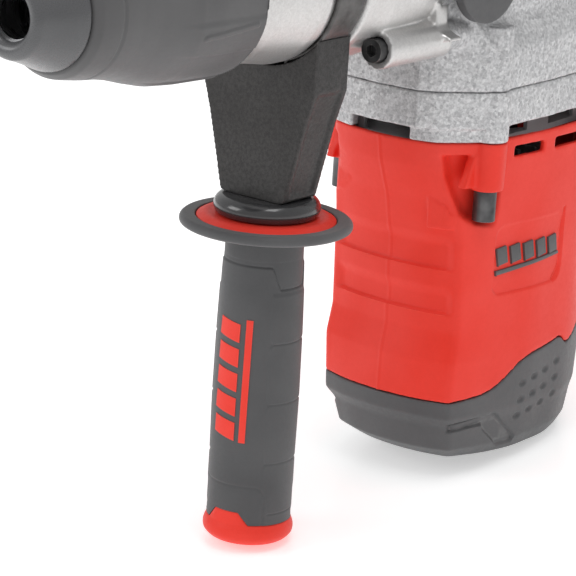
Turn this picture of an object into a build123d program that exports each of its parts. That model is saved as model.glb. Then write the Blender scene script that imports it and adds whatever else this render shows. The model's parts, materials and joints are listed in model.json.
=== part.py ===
"""Vertical-motor rotary hammer with a side handle, built as separate pieces.

Frame: millimetres, +X out of the tool holder, +Y to the operator's left, +Z up.
The origin is the centre of the tool holder's mouth, on the spindle axis.
"""

import math
import os

from build123d import *

os.makedirs("parts", exist_ok=True)

# Driving dimensions ------------------------------------------------------------
GAP = 0.3  # clearance between pieces that move past each other
FIT = 0.05  # radial clearance of a running fit

SHANK_BORE_R = 9.05  # takes an 18 mm shank
SHANK_GUIDE = 28.0  # length of the plain guide at the mouth
HOLDER_R = 15.0
HOLDER_REAR_R = 19.0
HOLDER_STEP_X = -62.0
HOLDER_END_X = -150.0
TUBE_R = 16.0  # bore of the hammer tube
TUBE_OUT_R = 19.5
TUBE_END_X = -285.0

CAP_FRONT_X = 5.0
CAP_REAR_X = -16.3
SLEEVE_FRONT_X = -16.8
SLEEVE_REAR_X = -104.6
SLEEVE_TRAVEL = 10.0
ROLLER_X = -38.0
ROLLER_R = 3.5
ROLLER_LENGTH = 15.0

NECK_FRONT_X = -105.6
NECK_REAR_X = -228.0
BAND_FRONT_X = -149.9
BAND_REAR_X = -168.1
SEAT_R = 34.8
BAND_R = 36.8

HANDLE_X = -158.0
BLOCK_DEPTH = 22.0
BLOCK_TOP_Z = -12.0
BLOCK_LOW_Z = -93.0
COLLAR_LOW_Z = -101.2
GUARD_TOP_Z = -102.6
GUARD_THICK = 4.35
GUARD_R = 36.0
INSERT_R = 29.2
GRIP_TOP_Z = GUARD_TOP_Z - GUARD_THICK
END_CAP_TOP_Z = -225.0
HANDLE_LOW_Z = -242.2

CASE_TOP_Z = 34.0
CASE_JOINT_Z = -56.2
SKIRT_Z = -72.2
TAB_Z = -82.2
LIP_Z = -78.7
CASE_REAR_X = -372.0
CASE_WALL = 5.0
CASE_SCREW_X = -261.0
CASE_SCREW_REAR_X = -352.0
CASE_SCREW_Y = 38.0
CASE_SCREW_REAR_Y = 31.0

MOTOR_X = -305.0
STACK_R = 24.0
STATOR_R = 40.0
STACK_LOW_Z = -168.0
STACK_TOP_Z = -108.0
HOUSING_REAR_X = -366.0
BASE_Z = -226.0
WALL = 3.0
BOSS_LOW_Z = -100.0
SCREW_DRIVE = 13.6  # height of the housing screws' long heads

GEAR_MODULE = 1.0
PINION_TEETH = 9
CRANK_TEETH = 51
CLUTCH_TEETH = 45
GEAR_LOW_Z = -55.0
GEAR_TOP_Z = -46.0
CRANK_X = MOTOR_X - GEAR_MODULE * (PINION_TEETH + CRANK_TEETH) / 2
LAY_X = MOTOR_X + GEAR_MODULE * (PINION_TEETH + CLUTCH_TEETH) / 2
CRANK_THROW = 14.0
ROD_LENGTH = 75.0
WRIST_X = CRANK_X + CRANK_THROW + ROD_LENGTH

BEVEL_MODULE = 1.8
BEVEL_TEETH = 10
CROWN_TEETH = 32
CROWN_R = BEVEL_MODULE * CROWN_TEETH / 2
BEVEL_R = BEVEL_MODULE * BEVEL_TEETH / 2
BEVEL_FACE = 8.0

KNOB_X = -248.0
KNOB_Z = -3.5
KNOB_R = 22.0
CASE_SIDE_Y = 43.0
CASE_UPPER_Y = 36.0
CASE_SHOULDER_Z = -26.0

M6_HEAD_R = 5.0
M6_HEAD = 6.0
M6_R = 3.0

SPINDLE = Axis.X


# Small makers used by several pieces ---------------------------------------------
def write(piece, name):
    """Label a finished piece and write its STEP file."""
    piece.part.label = name
    export_step(piece.part, f"parts/{name}.step")


def turned(profile, about=SPINDLE):
    """A solid of revolution from (x, z) points in the plane Y = 0."""
    with BuildPart() as piece:
        with BuildSketch(Plane.XZ):
            with BuildLine():
                Polyline(*profile, close=True)
            make_face()
        revolve(axis=about)
    return piece


def turned_upright(profile, axis_x):
    """A solid of revolution about a vertical axis from (radius, z) points."""
    points = [(axis_x + radius, z) for radius, z in profile]
    return turned(points, Axis((axis_x, 0, 0), (0, 0, 1)))


def along_x(radius_out, radius_in, x_front, x_rear):
    """A plain ring on the spindle axis."""
    return turned([(x_front, radius_in), (x_front, radius_out), (x_rear, radius_out), (x_rear, radius_in)])


def gear_outline(teeth, module, axis_x, scale=1.0, thin=0.86, addendum=0.85, dedendum=1.2, turn=0.0):
    """Closed list of points round a spur gear centred on (axis_x, 0), four to each flank."""
    pitch_r = teeth * module / 2
    base_r = pitch_r * math.cos(math.radians(20))
    pitch_involute = math.tan(math.radians(20)) - math.radians(20)
    root_r = pitch_r - dedendum * module
    tip_r = pitch_r + addendum * module
    radii = [root_r, (root_r + 2 * pitch_r) / 3, pitch_r + 0.25 * module, tip_r]

    def half_angle(radius):
        pressure = math.acos(min(1.0, base_r / radius))
        return thin * math.pi / (2 * teeth) + pitch_involute - (math.tan(pressure) - pressure)

    points = []
    for tooth in range(teeth):
        middle = turn + tooth * 2 * math.pi / teeth
        left = [(radius, middle - half_angle(radius)) for radius in radii]
        right = [(radius, middle + half_angle(radius)) for radius in reversed(radii)]
        points += [(r * math.cos(a), r * math.sin(a)) for r, a in left + right]
    return [(axis_x + scale * x, scale * y) for x, y in points]


def spur_gear(teeth, axis_x, bore_r, low_z, top_z, turn=0.0):
    """A spur gear on a vertical axis."""
    with BuildPart() as gear:
        with BuildSketch(Plane.XY.offset(low_z)):
            with BuildLine():
                Polyline(*gear_outline(teeth, GEAR_MODULE, axis_x, turn=turn), close=True)
            make_face()
            with Locations((axis_x, 0)):
                Circle(bore_r, mode=Mode.SUBTRACT)
        extrude(amount=top_z - low_z)
    return gear


def bearing(plane, bore_r, outer_r, width, balls=10):
    """A ball bearing: outer race, inner race and balls, centred on the plane."""
    middle_r = (bore_r + outer_r) / 2
    ball_r = 0.31 * (outer_r - bore_r)
    race = 0.3 * (outer_r - bore_r)
    with BuildPart() as ring:
        with BuildSketch(plane.offset(-width / 2)):
            Circle(outer_r)
            Circle(outer_r - race, mode=Mode.SUBTRACT)
            Circle(bore_r + race)
            Circle(bore_r, mode=Mode.SUBTRACT)
        extrude(amount=width)
        with Locations(plane):
            Torus(middle_r, ball_r + FIT, mode=Mode.SUBTRACT)
            with PolarLocations(middle_r, balls):
                Sphere(ball_r)
    return ring


def cap_screw(location, length, head_r=M6_HEAD_R, head=M6_HEAD, shank_r=M6_R):
    """A socket cap screw whose head stands on the location's +Z side (builder context)."""
    with Locations(location):
        Cylinder(shank_r, length, align=(Align.CENTER, Align.CENTER, Align.MAX))
        Cylinder(head_r, head, align=(Align.CENTER, Align.CENTER, Align.MIN))
    with BuildSketch(Plane(location).offset(head)) as socket:
        RegularPolygon(0.55 * head_r, 6)
    extrude(socket.sketch, amount=-0.55 * head, mode=Mode.SUBTRACT)


# Chuck ---------------------------------------------------------------------------
def make_chuck():
    """Nose cap, locking sleeve, tool holder, spring and the two locking rollers."""
    cap_bore = HOLDER_R + FIT
    cap = turned(
        [
            (0.4, 9.5),
            (3.4, 9.5),
            (CAP_FRONT_X, 11.3),
            (CAP_FRONT_X, 14.6),
            (3.6, 16.6),
            (-0.5, 17.9),
            (-8.0, 20.4),
            (-14.8, 23.2),
            (CAP_REAR_X, 23.4),
            (CAP_REAR_X, cap_bore),
            (0.4, cap_bore),
        ]
    )
    write(cap, "dust_cap")

    sleeve = turned(
        [
            (SLEEVE_FRONT_X, HOLDER_R + GAP),
            (SLEEVE_FRONT_X, 24.4),
            (-19.5, 26.6),
            (-23.0, 27.2),
            (-30.0, 28.2),
            (-40.0, 29.1),
            (-49.0, 30.7),
            (-59.0, 33.4),
            (-68.0, 35.5),
            (-80.0, 36.5),
            (-98.0, 37.0),
            (SLEEVE_REAR_X, 37.1),
            (SLEEVE_REAR_X, 35.6),
            (-72.0, 33.0),
            (-60.0, HOLDER_REAR_R + 2.6),
            (-50.0, HOLDER_REAR_R + 2.4),
            (-48.5, HOLDER_R + GAP),
            (ROLLER_X - ROLLER_LENGTH / 2, HOLDER_R + GAP),
            (ROLLER_X + ROLLER_LENGTH / 2 + SLEEVE_TRAVEL + 1, 22.4),
            (SLEEVE_FRONT_X - 2.2, 22.4),
            (SLEEVE_FRONT_X - 2.2, HOLDER_R + GAP),
        ]
    )
    write(sleeve, "locking_sleeve")

    holder = turned(
        [
            (0, SHANK_BORE_R),
            (0, HOLDER_R),
            (HOLDER_STEP_X, HOLDER_R),
            (HOLDER_STEP_X, HOLDER_REAR_R),
            (HOLDER_END_X, HOLDER_REAR_R),
            (HOLDER_END_X, 12 + FIT),
            (-76, 12 + FIT),
            (-76, SHANK_BORE_R + 0.6),
            (-SHANK_GUIDE, SHANK_BORE_R + 0.6),
            (-SHANK_GUIDE, SHANK_BORE_R),
        ]
    )
    slot = ROLLER_R + 0.2
    with BuildPart() as slotted:
        add(holder.part)
        with Locations((ROLLER_X, 0, 0)):
            Box(ROLLER_LENGTH + 0.4, 2 * slot, 2 * HOLDER_R + 2, mode=Mode.SUBTRACT)
    write(slotted, "tool_holder")

    for name, side in (("locking_roller_upper", 1), ("locking_roller_lower", -1)):
        with BuildPart() as roller:
            with Locations(Location((ROLLER_X, 0, side * (HOLDER_R - ROLLER_R)), (0, 90, 0))):
                Cylinder(ROLLER_R, ROLLER_LENGTH)
            chamfer(roller.edges().filter_by(GeomType.CIRCLE), 0.8)
        write(roller, name)

    coils = 4
    spring_r = 27.0
    wire_r = 1.1
    length = 22.0
    with BuildPart() as spring:
        with BuildLine() as wire:
            Helix(length / coils, length, spring_r, center=(-103.0, 0, 0), direction=(1, 0, 0))
        with BuildSketch(Plane(wire.line @ 0, z_dir=wire.line % 0)):
            Circle(wire_r)
        sweep()
    write(spring, "sleeve_spring")


# Neck casting --------------------------------------------------------------------
def case_section(inset, low_z, turn_z, top_z):
    """Front view of the gear case: wide at the joint, narrower above the shoulder."""
    low_y = CASE_SIDE_Y + 1.0 - inset
    top_y = CASE_UPPER_Y - inset
    half = [
        (low_y, low_z),
        (low_y, turn_z),
        (top_y + 0.5, CASE_SHOULDER_Z),
        (top_y, top_z),
    ]
    return half + [(-y, z) for y, z in reversed(half)]


SCREW_HEAD_X = -188.0
NECK_SCREWS = [(y, z) for y in (-30.0, 30.0) for z in (-31.0, 26.0)]


def make_neck():
    """Front casting with the cone, the clamping seat, the flange and its four screws."""
    outer = [
        (NECK_FRONT_X, 29.0),
        (-115.5, 29.8),
        (-117.5, 32.9),
        (-126.0, 33.9),
        (-135.0, 35.2),
        (-141.0, 36.2),
        (-146.0, 36.2),
        (-149.0, 35.2),
        (-149.4, SEAT_R),
        (-168.6, SEAT_R),
        (-169.4, 38.2),
        (-186.0, 39.5),
        (-210.0, 38.5),
        (NECK_REAR_X, 36.0),
        (NECK_REAR_X, 33.0),
        (-205.0, 29.2),
        (-126.5, 29.2),
        (-126.5, 22.0),
        (-107.0, 22.0),
        (NECK_FRONT_X, 24.0),
    ]
    body = turned(outer)
    with BuildPart() as neck:
        add(body.part)
        with BuildSketch(Plane.YZ.offset(NECK_REAR_X)):
            with BuildLine():
                Polyline(*case_section(1.5, -30.0, -29.0, 26.0), close=True)
            make_face()
            Circle(38.0, mode=Mode.SUBTRACT)
        extrude(amount=8)
        for y, z in NECK_SCREWS:
            with BuildSketch(Plane.YZ.offset(NECK_REAR_X)):
                with Locations((y, z)):
                    Circle(8.2)
            extrude(amount=SCREW_HEAD_X + 2.0 - NECK_REAR_X)
        for y, z in NECK_SCREWS:
            with Locations(Location((SCREW_HEAD_X, y, z), (0, 90, 0))):
                Cylinder(M6_HEAD_R + GAP, 14, align=(Align.CENTER, Align.CENTER, Align.MIN), mode=Mode.SUBTRACT)
                Cylinder(M6_R + FIT, 50, align=(Align.CENTER, Align.CENTER, Align.MAX), mode=Mode.SUBTRACT)
        with Locations(Location((-185, 0, 0), (0, 90, 0))):
            Cylinder(29.2, 60, mode=Mode.SUBTRACT)
    write(neck, "neck_housing")

    with BuildPart() as screws:
        for y, z in NECK_SCREWS:
            cap_screw(Location((SCREW_HEAD_X, y, z), (0, 90, 0)), 52)
    write(screws, "neck_screws")

    front_plane = Plane((-133.0, 0, 0), x_dir=(0, 1, 0), z_dir=(1, 0, 0))
    write(bearing(front_plane, HOLDER_REAR_R + FIT, 29.1, 12), "spindle_bearing")


# Side handle ---------------------------------------------------------------------
def make_side_handle():
    """Clamp band, saddle block, bolt, collar, hand guard and grip."""
    band_width = BAND_FRONT_X - BAND_REAR_X
    leg_y = 12.0
    with BuildPart() as band:
        with BuildSketch(Plane.YZ.offset(BAND_REAR_X)):
            Circle(BAND_R)
            with Locations((0, -BAND_R)):
                Rectangle(2 * leg_y, 34)
            Circle(SEAT_R + FIT, mode=Mode.SUBTRACT)
            with Locations((0, -BAND_R - 8)):
                Rectangle(2 * leg_y - 4, 50, mode=Mode.SUBTRACT)
        extrude(amount=band_width)
        with BuildSketch(Plane.XY.offset(-BAND_R - 17)):
            with Locations(((BAND_FRONT_X + BAND_REAR_X) / 2, 0)):
                Rectangle(band_width, 2 * leg_y)
            with Locations((HANDLE_X, 0)):
                Circle(4.2, mode=Mode.SUBTRACT)
        extrude(amount=3)
    write(band, "clamp_band")

    with BuildPart() as block:
        with BuildSketch(Plane.YZ.offset(HANDLE_X - BLOCK_DEPTH / 2)):
            with BuildLine():
                Polyline(
                    (-28.9, BLOCK_TOP_Z - 4),
                    (-28.9, -46.0),
                    (-24.5, -60.0),
                    (-16.4, BLOCK_LOW_Z),
                    (16.4, BLOCK_LOW_Z),
                    (24.5, -60.0),
                    (28.9, -46.0),
                    (28.9, BLOCK_TOP_Z - 4),
                    close=True,
                )
            make_face()
            Circle(BAND_R + GAP, mode=Mode.SUBTRACT)
        extrude(amount=BLOCK_DEPTH)
        with Locations(((BAND_FRONT_X + BAND_REAR_X) / 2, 0, -BAND_R - 8)):
            Box(band_width + 2 * GAP, 2 * (leg_y + GAP), 25.0, mode=Mode.SUBTRACT)
        fillet(block.edges().filter_by(Axis.X).group_by(Axis.Z)[0], 2.0)
        with Locations((HANDLE_X, 0, BLOCK_LOW_Z)):
            Cylinder(4.2, 90, mode=Mode.SUBTRACT)
    write(block, "handle_block")

    bolt_head_z = -BAND_R - 13.8
    with BuildPart() as bolt:
        with BuildSketch(Plane.XY.offset(bolt_head_z)):
            with Locations((HANDLE_X, 0)):
                RegularPolygon(7.0, 6)
        extrude(amount=5.0)
        with Locations((HANDLE_X, 0, bolt_head_z)):
            Cylinder(4.0, 88, align=(Align.CENTER, Align.CENTER, Align.MAX))
    write(bolt, "clamp_bolt")

    collar = turned_upright(
        [
            (4.3, BLOCK_LOW_Z - 0.1),
            (19.0, BLOCK_LOW_Z - 0.1),
            (21.6, -95.0),
            (22.3, -97.7),
            (21.4, COLLAR_LOW_Z),
            (4.3, COLLAR_LOW_Z),
        ],
        HANDLE_X,
    )
    write(collar, "thrust_collar")

    insert = turned_upright(
        [
            (17.0, COLLAR_LOW_Z - GAP),
            (22.8, COLLAR_LOW_Z - GAP),
            (24.6, -101.2),
            (26.2, -101.4),
            (INSERT_R, -103.4),
            (INSERT_R, -105.0),
            (17.0, -105.0),
        ],
        HANDLE_X,
    )
    write(insert, "guard_insert")

    guard = turned_upright(
        [
            (17.0, -105.1),
            (INSERT_R + 0.2, -105.1),
            (INSERT_R + 0.2, GUARD_TOP_Z),
            (34.6, GUARD_TOP_Z),
            (GUARD_R, -103.8),
            (GUARD_R, -105.9),
            (34.4, GRIP_TOP_Z),
            (17.0, GRIP_TOP_Z),
        ],
        HANDLE_X,
    )
    write(guard, "guard_disc")

    core = turned_upright(
        [
            (4.15, COLLAR_LOW_Z - GAP),
            (16.8, COLLAR_LOW_Z - GAP),
            (16.8, GRIP_TOP_Z - 0.1),
            (16.3, GRIP_TOP_Z - 0.1),
            (16.3, -118.0),
            (13.6, -118.0),
            (13.6, END_CAP_TOP_Z),
            (4.15, END_CAP_TOP_Z),
        ],
        HANDLE_X,
    )
    write(core, "grip_core")

    rubber = turned_upright(
        [
            (13.7, -118.2),
            (16.4, -118.2),
            (16.6, -126.0),
            (17.3, -150.0),
            (17.6, -180.0),
            (17.3, -205.0),
            (17.1, -224.6),
            (13.7, -224.6),
        ],
        HANDLE_X,
    )
    write(rubber, "grip_sleeve")

    end_cap = turned_upright(
        [
            (0, END_CAP_TOP_Z - 0.2),
            (17.0, END_CAP_TOP_Z - 0.2),
            (17.9, -229.0),
            (19.2, -234.5),
            (19.0, -238.6),
            (16.0, -241.6),
            (12.0, HANDLE_LOW_Z),
            (0, HANDLE_LOW_Z),
        ],
        HANDLE_X,
    )
    write(end_cap, "grip_end_cap")


# Gear case -----------------------------------------------------------------------
def case_form(low_z, top_z, inset=0.0):
    """The gear case as a closed form: its plan, drawn in above the shoulder."""
    with BuildPart() as form:
        case_prism(low_z, top_z, inset)
        with BuildSketch(Plane.YZ.offset(NECK_REAR_X)) as section:
            with BuildLine():
                Polyline(*case_section(inset, CASE_REAR_X, CASE_SHOULDER_Z - 14, CASE_TOP_Z + 20), close=True)
            make_face()
        extrude(section.sketch, amount=2 * CASE_REAR_X, both=True, mode=Mode.INTERSECT)
    return form


def case_outline(inset=0.0):
    """Plan of the gear case: flat front, slanted corners, straight sides, rounded rear."""
    half = [
        (-229.0 - inset, 0.0),
        (-230.5 - inset, 20.0 - 0.4 * inset),
        (-235.5 - inset, 27.0 - 0.6 * inset),
        (-252.0 - 0.6 * inset, 41.0 - inset),
        (-262.0, CASE_SIDE_Y + 0.6 - inset),
        (-300.0, CASE_SIDE_Y - inset),
        (-340.0, 40.0 - inset),
        (-362.0 + inset, 31.0 - 0.7 * inset),
        (CASE_REAR_X + inset, 16.0),
    ]
    return half + [(x, -y) for x, y in reversed(half) if y]


def case_prism(low_z, top_z, inset=0.0, mode=Mode.ADD):
    """A prism of the gear case's plan (builder context)."""
    with BuildSketch(Plane.XY.offset(low_z)) as plan:
        with BuildLine():
            Polyline(*case_outline(inset), close=True)
        make_face()
    extrude(plan.sketch, amount=top_z - low_z, mode=mode)


CASE_SCREWS = [(CASE_SCREW_X, side * CASE_SCREW_Y) for side in (-1, 1)] + [
    (CASE_SCREW_REAR_X, side * CASE_SCREW_REAR_Y) for side in (-1, 1)
]
COVER_SCREWS = [(x, y) for x in (-262.0, -345.0) for y in (-29.5, 29.5)]


def make_gear_case():
    """Crankcase, its base with the four hanging tabs, the top cover and their screws."""
    with BuildPart() as case:
        add(case_form(CASE_JOINT_Z, CASE_TOP_Z).part)
        add(case_form(CASE_JOINT_Z, CASE_TOP_Z, CASE_WALL).part, mode=Mode.SUBTRACT)
        for x, y in CASE_SCREWS:
            with BuildSketch(Plane.XY.offset(CASE_JOINT_Z)):
                with Locations((x, y)):
                    Circle(7.0)
            extrude(amount=28)
        for x, y in COVER_SCREWS:
            with BuildSketch(Plane.XY.offset(CASE_TOP_Z)):
                with Locations((x, y)):
                    Circle(5.0)
            extrude(amount=-14)
        for y, z in NECK_SCREWS:
            with Locations(Location((NECK_REAR_X - 1.0, y, z), (0, 90, 0))):
                Cylinder(6.0, 18, align=(Align.CENTER, Align.CENTER, Align.MAX))
        with Locations(Location((NECK_REAR_X - 10, 0, 0), (0, 90, 0))):
            Cylinder(33.5, 30, mode=Mode.SUBTRACT)
        with BuildSketch(Plane.YZ.offset(NECK_REAR_X)):
            Rectangle(200, 300)
        extrude(amount=30, mode=Mode.SUBTRACT)
        with BuildSketch(Plane.YZ.offset(-230.0)):
            Circle(33.9)
            Circle(30.2, mode=Mode.SUBTRACT)
        extrude(amount=-10)
        for y, z in NECK_SCREWS:
            with Locations(Location((NECK_REAR_X + 1, y, z), (0, 90, 0))):
                Cylinder(M6_R + FIT, 18, align=(Align.CENTER, Align.CENTER, Align.MAX), mode=Mode.SUBTRACT)
        for x, y in CASE_SCREWS:
            with Locations((x, y, CASE_JOINT_Z)):
                Cylinder(
                    M6_R + FIT, 22, align=(Align.CENTER, Align.CENTER, Align.MIN), mode=Mode.SUBTRACT
                )
        for x, y in COVER_SCREWS:
            with Locations((x, y, CASE_TOP_Z)):
                Cylinder(2.55, 12, align=(Align.CENTER, Align.CENTER, Align.MAX), mode=Mode.SUBTRACT)
        with Locations(Location((KNOB_X, CASE_UPPER_Y, KNOB_Z), (90, 0, 0))):
            Cylinder(6.0 + FIT, 20, mode=Mode.SUBTRACT)
    write(case, "gear_housing")

    with BuildPart() as base:
        case_prism(SKIRT_Z, CASE_JOINT_Z - 0.1)
        case_prism(SKIRT_Z - 1, CASE_JOINT_Z - 6.0, CASE_WALL, Mode.SUBTRACT)
        for x, y in CASE_SCREWS:
            with BuildSketch(Plane.XY.offset(CASE_JOINT_Z - 0.1)):
                with Locations((x, y)):
                    Circle(8.0)
            extrude(amount=TAB_Z - CASE_JOINT_Z + 0.1)
        for x, y in CASE_SCREWS:
            with Locations((x, y, TAB_Z)):
                Cylinder(M6_R + FIT, 80, mode=Mode.SUBTRACT)
        with BuildSketch(Plane.XY.offset(CASE_JOINT_Z - 6.0)):
            with Locations((MOTOR_X, 0)):
                Circle(17.0)
        extrude(amount=-13)
        with Locations((MOTOR_X, 0, CASE_JOINT_Z - 10)):
            Cylinder(13.1, 30, align=(Align.CENTER, Align.CENTER, Align.MAX), mode=Mode.SUBTRACT)
            Cylinder(6.5, 40, mode=Mode.SUBTRACT)
        for x in (CRANK_X, LAY_X):
            with Locations((x, 0, CASE_JOINT_Z)):
                Cylinder(7.0 + FIT, 40, mode=Mode.SUBTRACT)
    write(base, "crankcase_base")

    with BuildPart() as cover:
        add(case_form(CASE_TOP_Z + 0.1, CASE_TOP_Z + 7.0).part)
        with BuildSketch(Plane.XY.offset(CASE_TOP_Z + 7.0)):
            with Locations((-303, 0)):
                RectangleRounded(112, 46, 20)
        extrude(amount=6, taper=30)
        with BuildSketch(Plane.XY.offset(CASE_TOP_Z + 0.1)):
            with Locations((-303, 0)):
                RectangleRounded(100, 40, 16)
        extrude(amount=8.5, mode=Mode.SUBTRACT)
        for x, y in COVER_SCREWS:
            with Locations((x, y, CASE_TOP_Z)):
                Cylinder(2.55, 40, mode=Mode.SUBTRACT)
    write(cover, "top_cover")

    with BuildPart() as cover_screws:
        for x, y in COVER_SCREWS:
            cap_screw(Location((x, y, CASE_TOP_Z + 7.0)), 18, 4.25, 4.5, 2.5)
    write(cover_screws, "cover_screws")

    with BuildPart() as housing_screws:
        for x, y in CASE_SCREWS:
            length = CASE_JOINT_Z + 18 - BOSS_LOW_Z
            cap_screw(Location((x, y, BOSS_LOW_Z), (180, 0, 0)), length, M6_HEAD_R, SCREW_DRIVE)
    write(housing_screws, "housing_screws")


def make_mode_switch():
    """The round mode knob on the left flank and the eccentric shaft behind it."""
    flank = Plane((KNOB_X, CASE_UPPER_Y + 0.6, KNOB_Z), x_dir=(1, 0, 0), z_dir=(0, 1, 0))
    with BuildPart() as knob:
        with BuildSketch(flank.offset(GAP)):
            Circle(KNOB_R)
        extrude(amount=5)
        with BuildSketch(flank.offset(GAP + 5)):
            SlotOverall(2 * KNOB_R - 6, 13)
        extrude(amount=9, taper=8)
        with BuildSketch(flank.offset(GAP)):
            Circle(4.0)
        extrude(amount=8, mode=Mode.SUBTRACT)
    write(knob, "mode_knob")
    with BuildPart() as shaft:
        with BuildSketch(flank.offset(GAP + 7.8)):
            Circle(3.9)
        extrude(amount=-9)
        with BuildSketch(flank.offset(-1.2)):
            Circle(6.0)
        extrude(amount=-9)
        with BuildSketch(flank.offset(-10.2)):
            with Locations((3, 0)):
                Circle(2.5)
        extrude(amount=-5)
    write(shaft, "mode_shaft")


# Hammer mechanism ------------------------------------------------------------------
def make_hammer():
    """Hammer tube, impact bolt, striker, piston, rod, crank and their bearing."""
    tube = along_x(TUBE_OUT_R, TUBE_R, HOLDER_END_X - 0.02, TUBE_END_X)
    write(tube, "hammer_tube")
    bolt = turned(
        [
            (-79, 0),
            (-79, 8.6),
            (-84, 9.0),
            (-86, 12.0),
            (-120, 12.0),
            (-122, 9.0),
            (-144, 9.0),
            (-146, 8.0),
            (-146, 0),
        ]
    )
    write(bolt, "impact_bolt")
    striker = turned(
        [
            (-157, 0),
            (-157, 8.0),
            (-159, 9.0),
            (-168, 9.0),
            (-170, TUBE_R - FIT),
            (-202, TUBE_R - FIT),
            (-202, 9.0),
            (-190, 7.0),
            (-190, 0),
        ]
    )
    write(striker, "striker")
    with BuildPart() as piston:
        add(
            turned(
                [
                    (WRIST_X + 24, 0),
                    (WRIST_X + 24, TUBE_R - FIT),
                    (WRIST_X - 9, TUBE_R - FIT),
                    (WRIST_X - 9, 11.0),
                    (WRIST_X + 11, 11.0),
                    (WRIST_X + 11, 0),
                ]
            ).part
        )
        with Locations((WRIST_X, 0, 0)):
            Cylinder(4.0, 60, mode=Mode.SUBTRACT)
    write(piston, "piston")
    with BuildPart() as pin:
        with Locations((WRIST_X, 0, 0)):
            Cylinder(3.95, 30.5)
    write(pin, "wrist_pin")

    pin_x = WRIST_X - ROD_LENGTH
    eye = 7.0
    with BuildPart() as rod:
        with BuildSketch(Plane.XY.offset(-eye)):
            with Locations((WRIST_X, 0)):
                Circle(8.0)
            with Locations((pin_x, 0)):
                Circle(11.0)
        extrude(amount=2 * eye)
        with Locations(((WRIST_X + pin_x) / 2, 0, 0)):
            Box(ROD_LENGTH - 10, 9, 8)
        with Locations((WRIST_X, 0, 0)):
            Cylinder(4.0, 30, mode=Mode.SUBTRACT)
        with Locations((pin_x, 0, 0)):
            Cylinder(6.1, 30, mode=Mode.SUBTRACT)
    write(rod, "connecting_rod")

    with BuildPart() as crank:
        with Locations((CRANK_X, 0, -16.0)):
            Cylinder(22.0, 8, align=(Align.CENTER, Align.CENTER, Align.MAX))
            Cylinder(9.0, 21, align=(Align.CENTER, Align.CENTER, Align.MAX))
            Cylinder(7.0, 56, align=(Align.CENTER, Align.CENTER, Align.MAX))
        with Locations((pin_x, 0, -16.0)):
            Cylinder(6.0, 16 - eye - GAP, align=(Align.CENTER, Align.CENTER, Align.MIN))
    write(crank, "crank_shaft")
    crank_gear = spur_gear(
        CRANK_TEETH, CRANK_X, 7.02, GEAR_LOW_Z, GEAR_TOP_Z
    )
    write(crank_gear, "crank_gear")
    crank_plane = Plane.XY.offset(-32.5).move(Location((CRANK_X, 0, 0)))
    write(bearing(crank_plane, 9.0 + FIT, 19.0, 8), "crank_bearing")


# Drive train -------------------------------------------------------------------------
def make_drive():
    """Lay shaft with its bevel pinion, the clutch gear and the crown gear on the tube."""
    shrink = (CROWN_R - BEVEL_FACE) / CROWN_R
    with BuildPart() as lay:
        for radius, scale in ((CROWN_R, 1.0), (CROWN_R - BEVEL_FACE, shrink)):
            outline = gear_outline(BEVEL_TEETH, BEVEL_MODULE, LAY_X, scale, thin=0.7, addendum=0.55)
            with BuildSketch(Plane.XY.offset(-radius)):
                with BuildLine():
                    Polyline(*outline, close=True)
                make_face()
        loft(ruled=True)
        with Locations((LAY_X, 0, -CROWN_R)):
            Cylinder(7.0, 42, align=(Align.CENTER, Align.CENTER, Align.MAX))
    write(lay, "lay_shaft")
    clutch = spur_gear(
        CLUTCH_TEETH, LAY_X, 7.02, GEAR_LOW_Z, GEAR_TOP_Z
    )
    with BuildPart() as clutch_pack:
        add(clutch.part)
        with BuildSketch(Plane.XY.offset(GEAR_TOP_Z)):
            with Locations((LAY_X, 0)):
                Circle(14.0)
                Circle(7.02, mode=Mode.SUBTRACT)
        extrude(amount=7)
    write(clutch_pack, "clutch_gear")

    apex_x = LAY_X
    with BuildPart() as crown:
        with BuildSketch(Plane.YZ.offset(apex_x + BEVEL_R + 2.6)):
            Circle(CROWN_R + 1)
            Circle(TUBE_OUT_R + 0.02, mode=Mode.SUBTRACT)
        extrude(amount=6)
    tooth_root = 1.15 * BEVEL_MODULE
    tooth_tip = 0.55 * BEVEL_MODULE
    half_pitch = 0.36 * math.pi * BEVEL_MODULE / 2
    slope = math.tan(math.radians(20))
    with BuildPart() as tooth:
        for radius in (CROWN_R, CROWN_R - BEVEL_FACE):
            scale = radius / CROWN_R
            pitch_x = apex_x + BEVEL_R * scale
            root_x = apex_x + BEVEL_R + 2.8
            tip_x = pitch_x - tooth_tip * scale
            wide = half_pitch * scale + slope * tooth_root * scale
            narrow = half_pitch * scale - slope * tooth_tip * scale
            with BuildSketch(Plane.XY.offset(-radius)):
                with BuildLine():
                    Polyline((root_x, wide), (tip_x, narrow), (tip_x, -narrow), (root_x, -wide), close=True)
                make_face()
        loft(ruled=True)
    half_tooth = 360 / CROWN_TEETH / 2
    with BuildPart() as crown_gear:
        add(crown.part)
        for index in range(CROWN_TEETH):
            add(tooth.part.rotate(Axis.X, half_tooth + index * 360 / CROWN_TEETH))
    write(crown_gear, "crown_gear")
    tube_plane = Plane((-216.0, 0, 0), x_dir=(0, 1, 0), z_dir=(1, 0, 0))
    write(bearing(tube_plane, TUBE_OUT_R + FIT, 29.1, 11), "tube_bearing")


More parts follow.
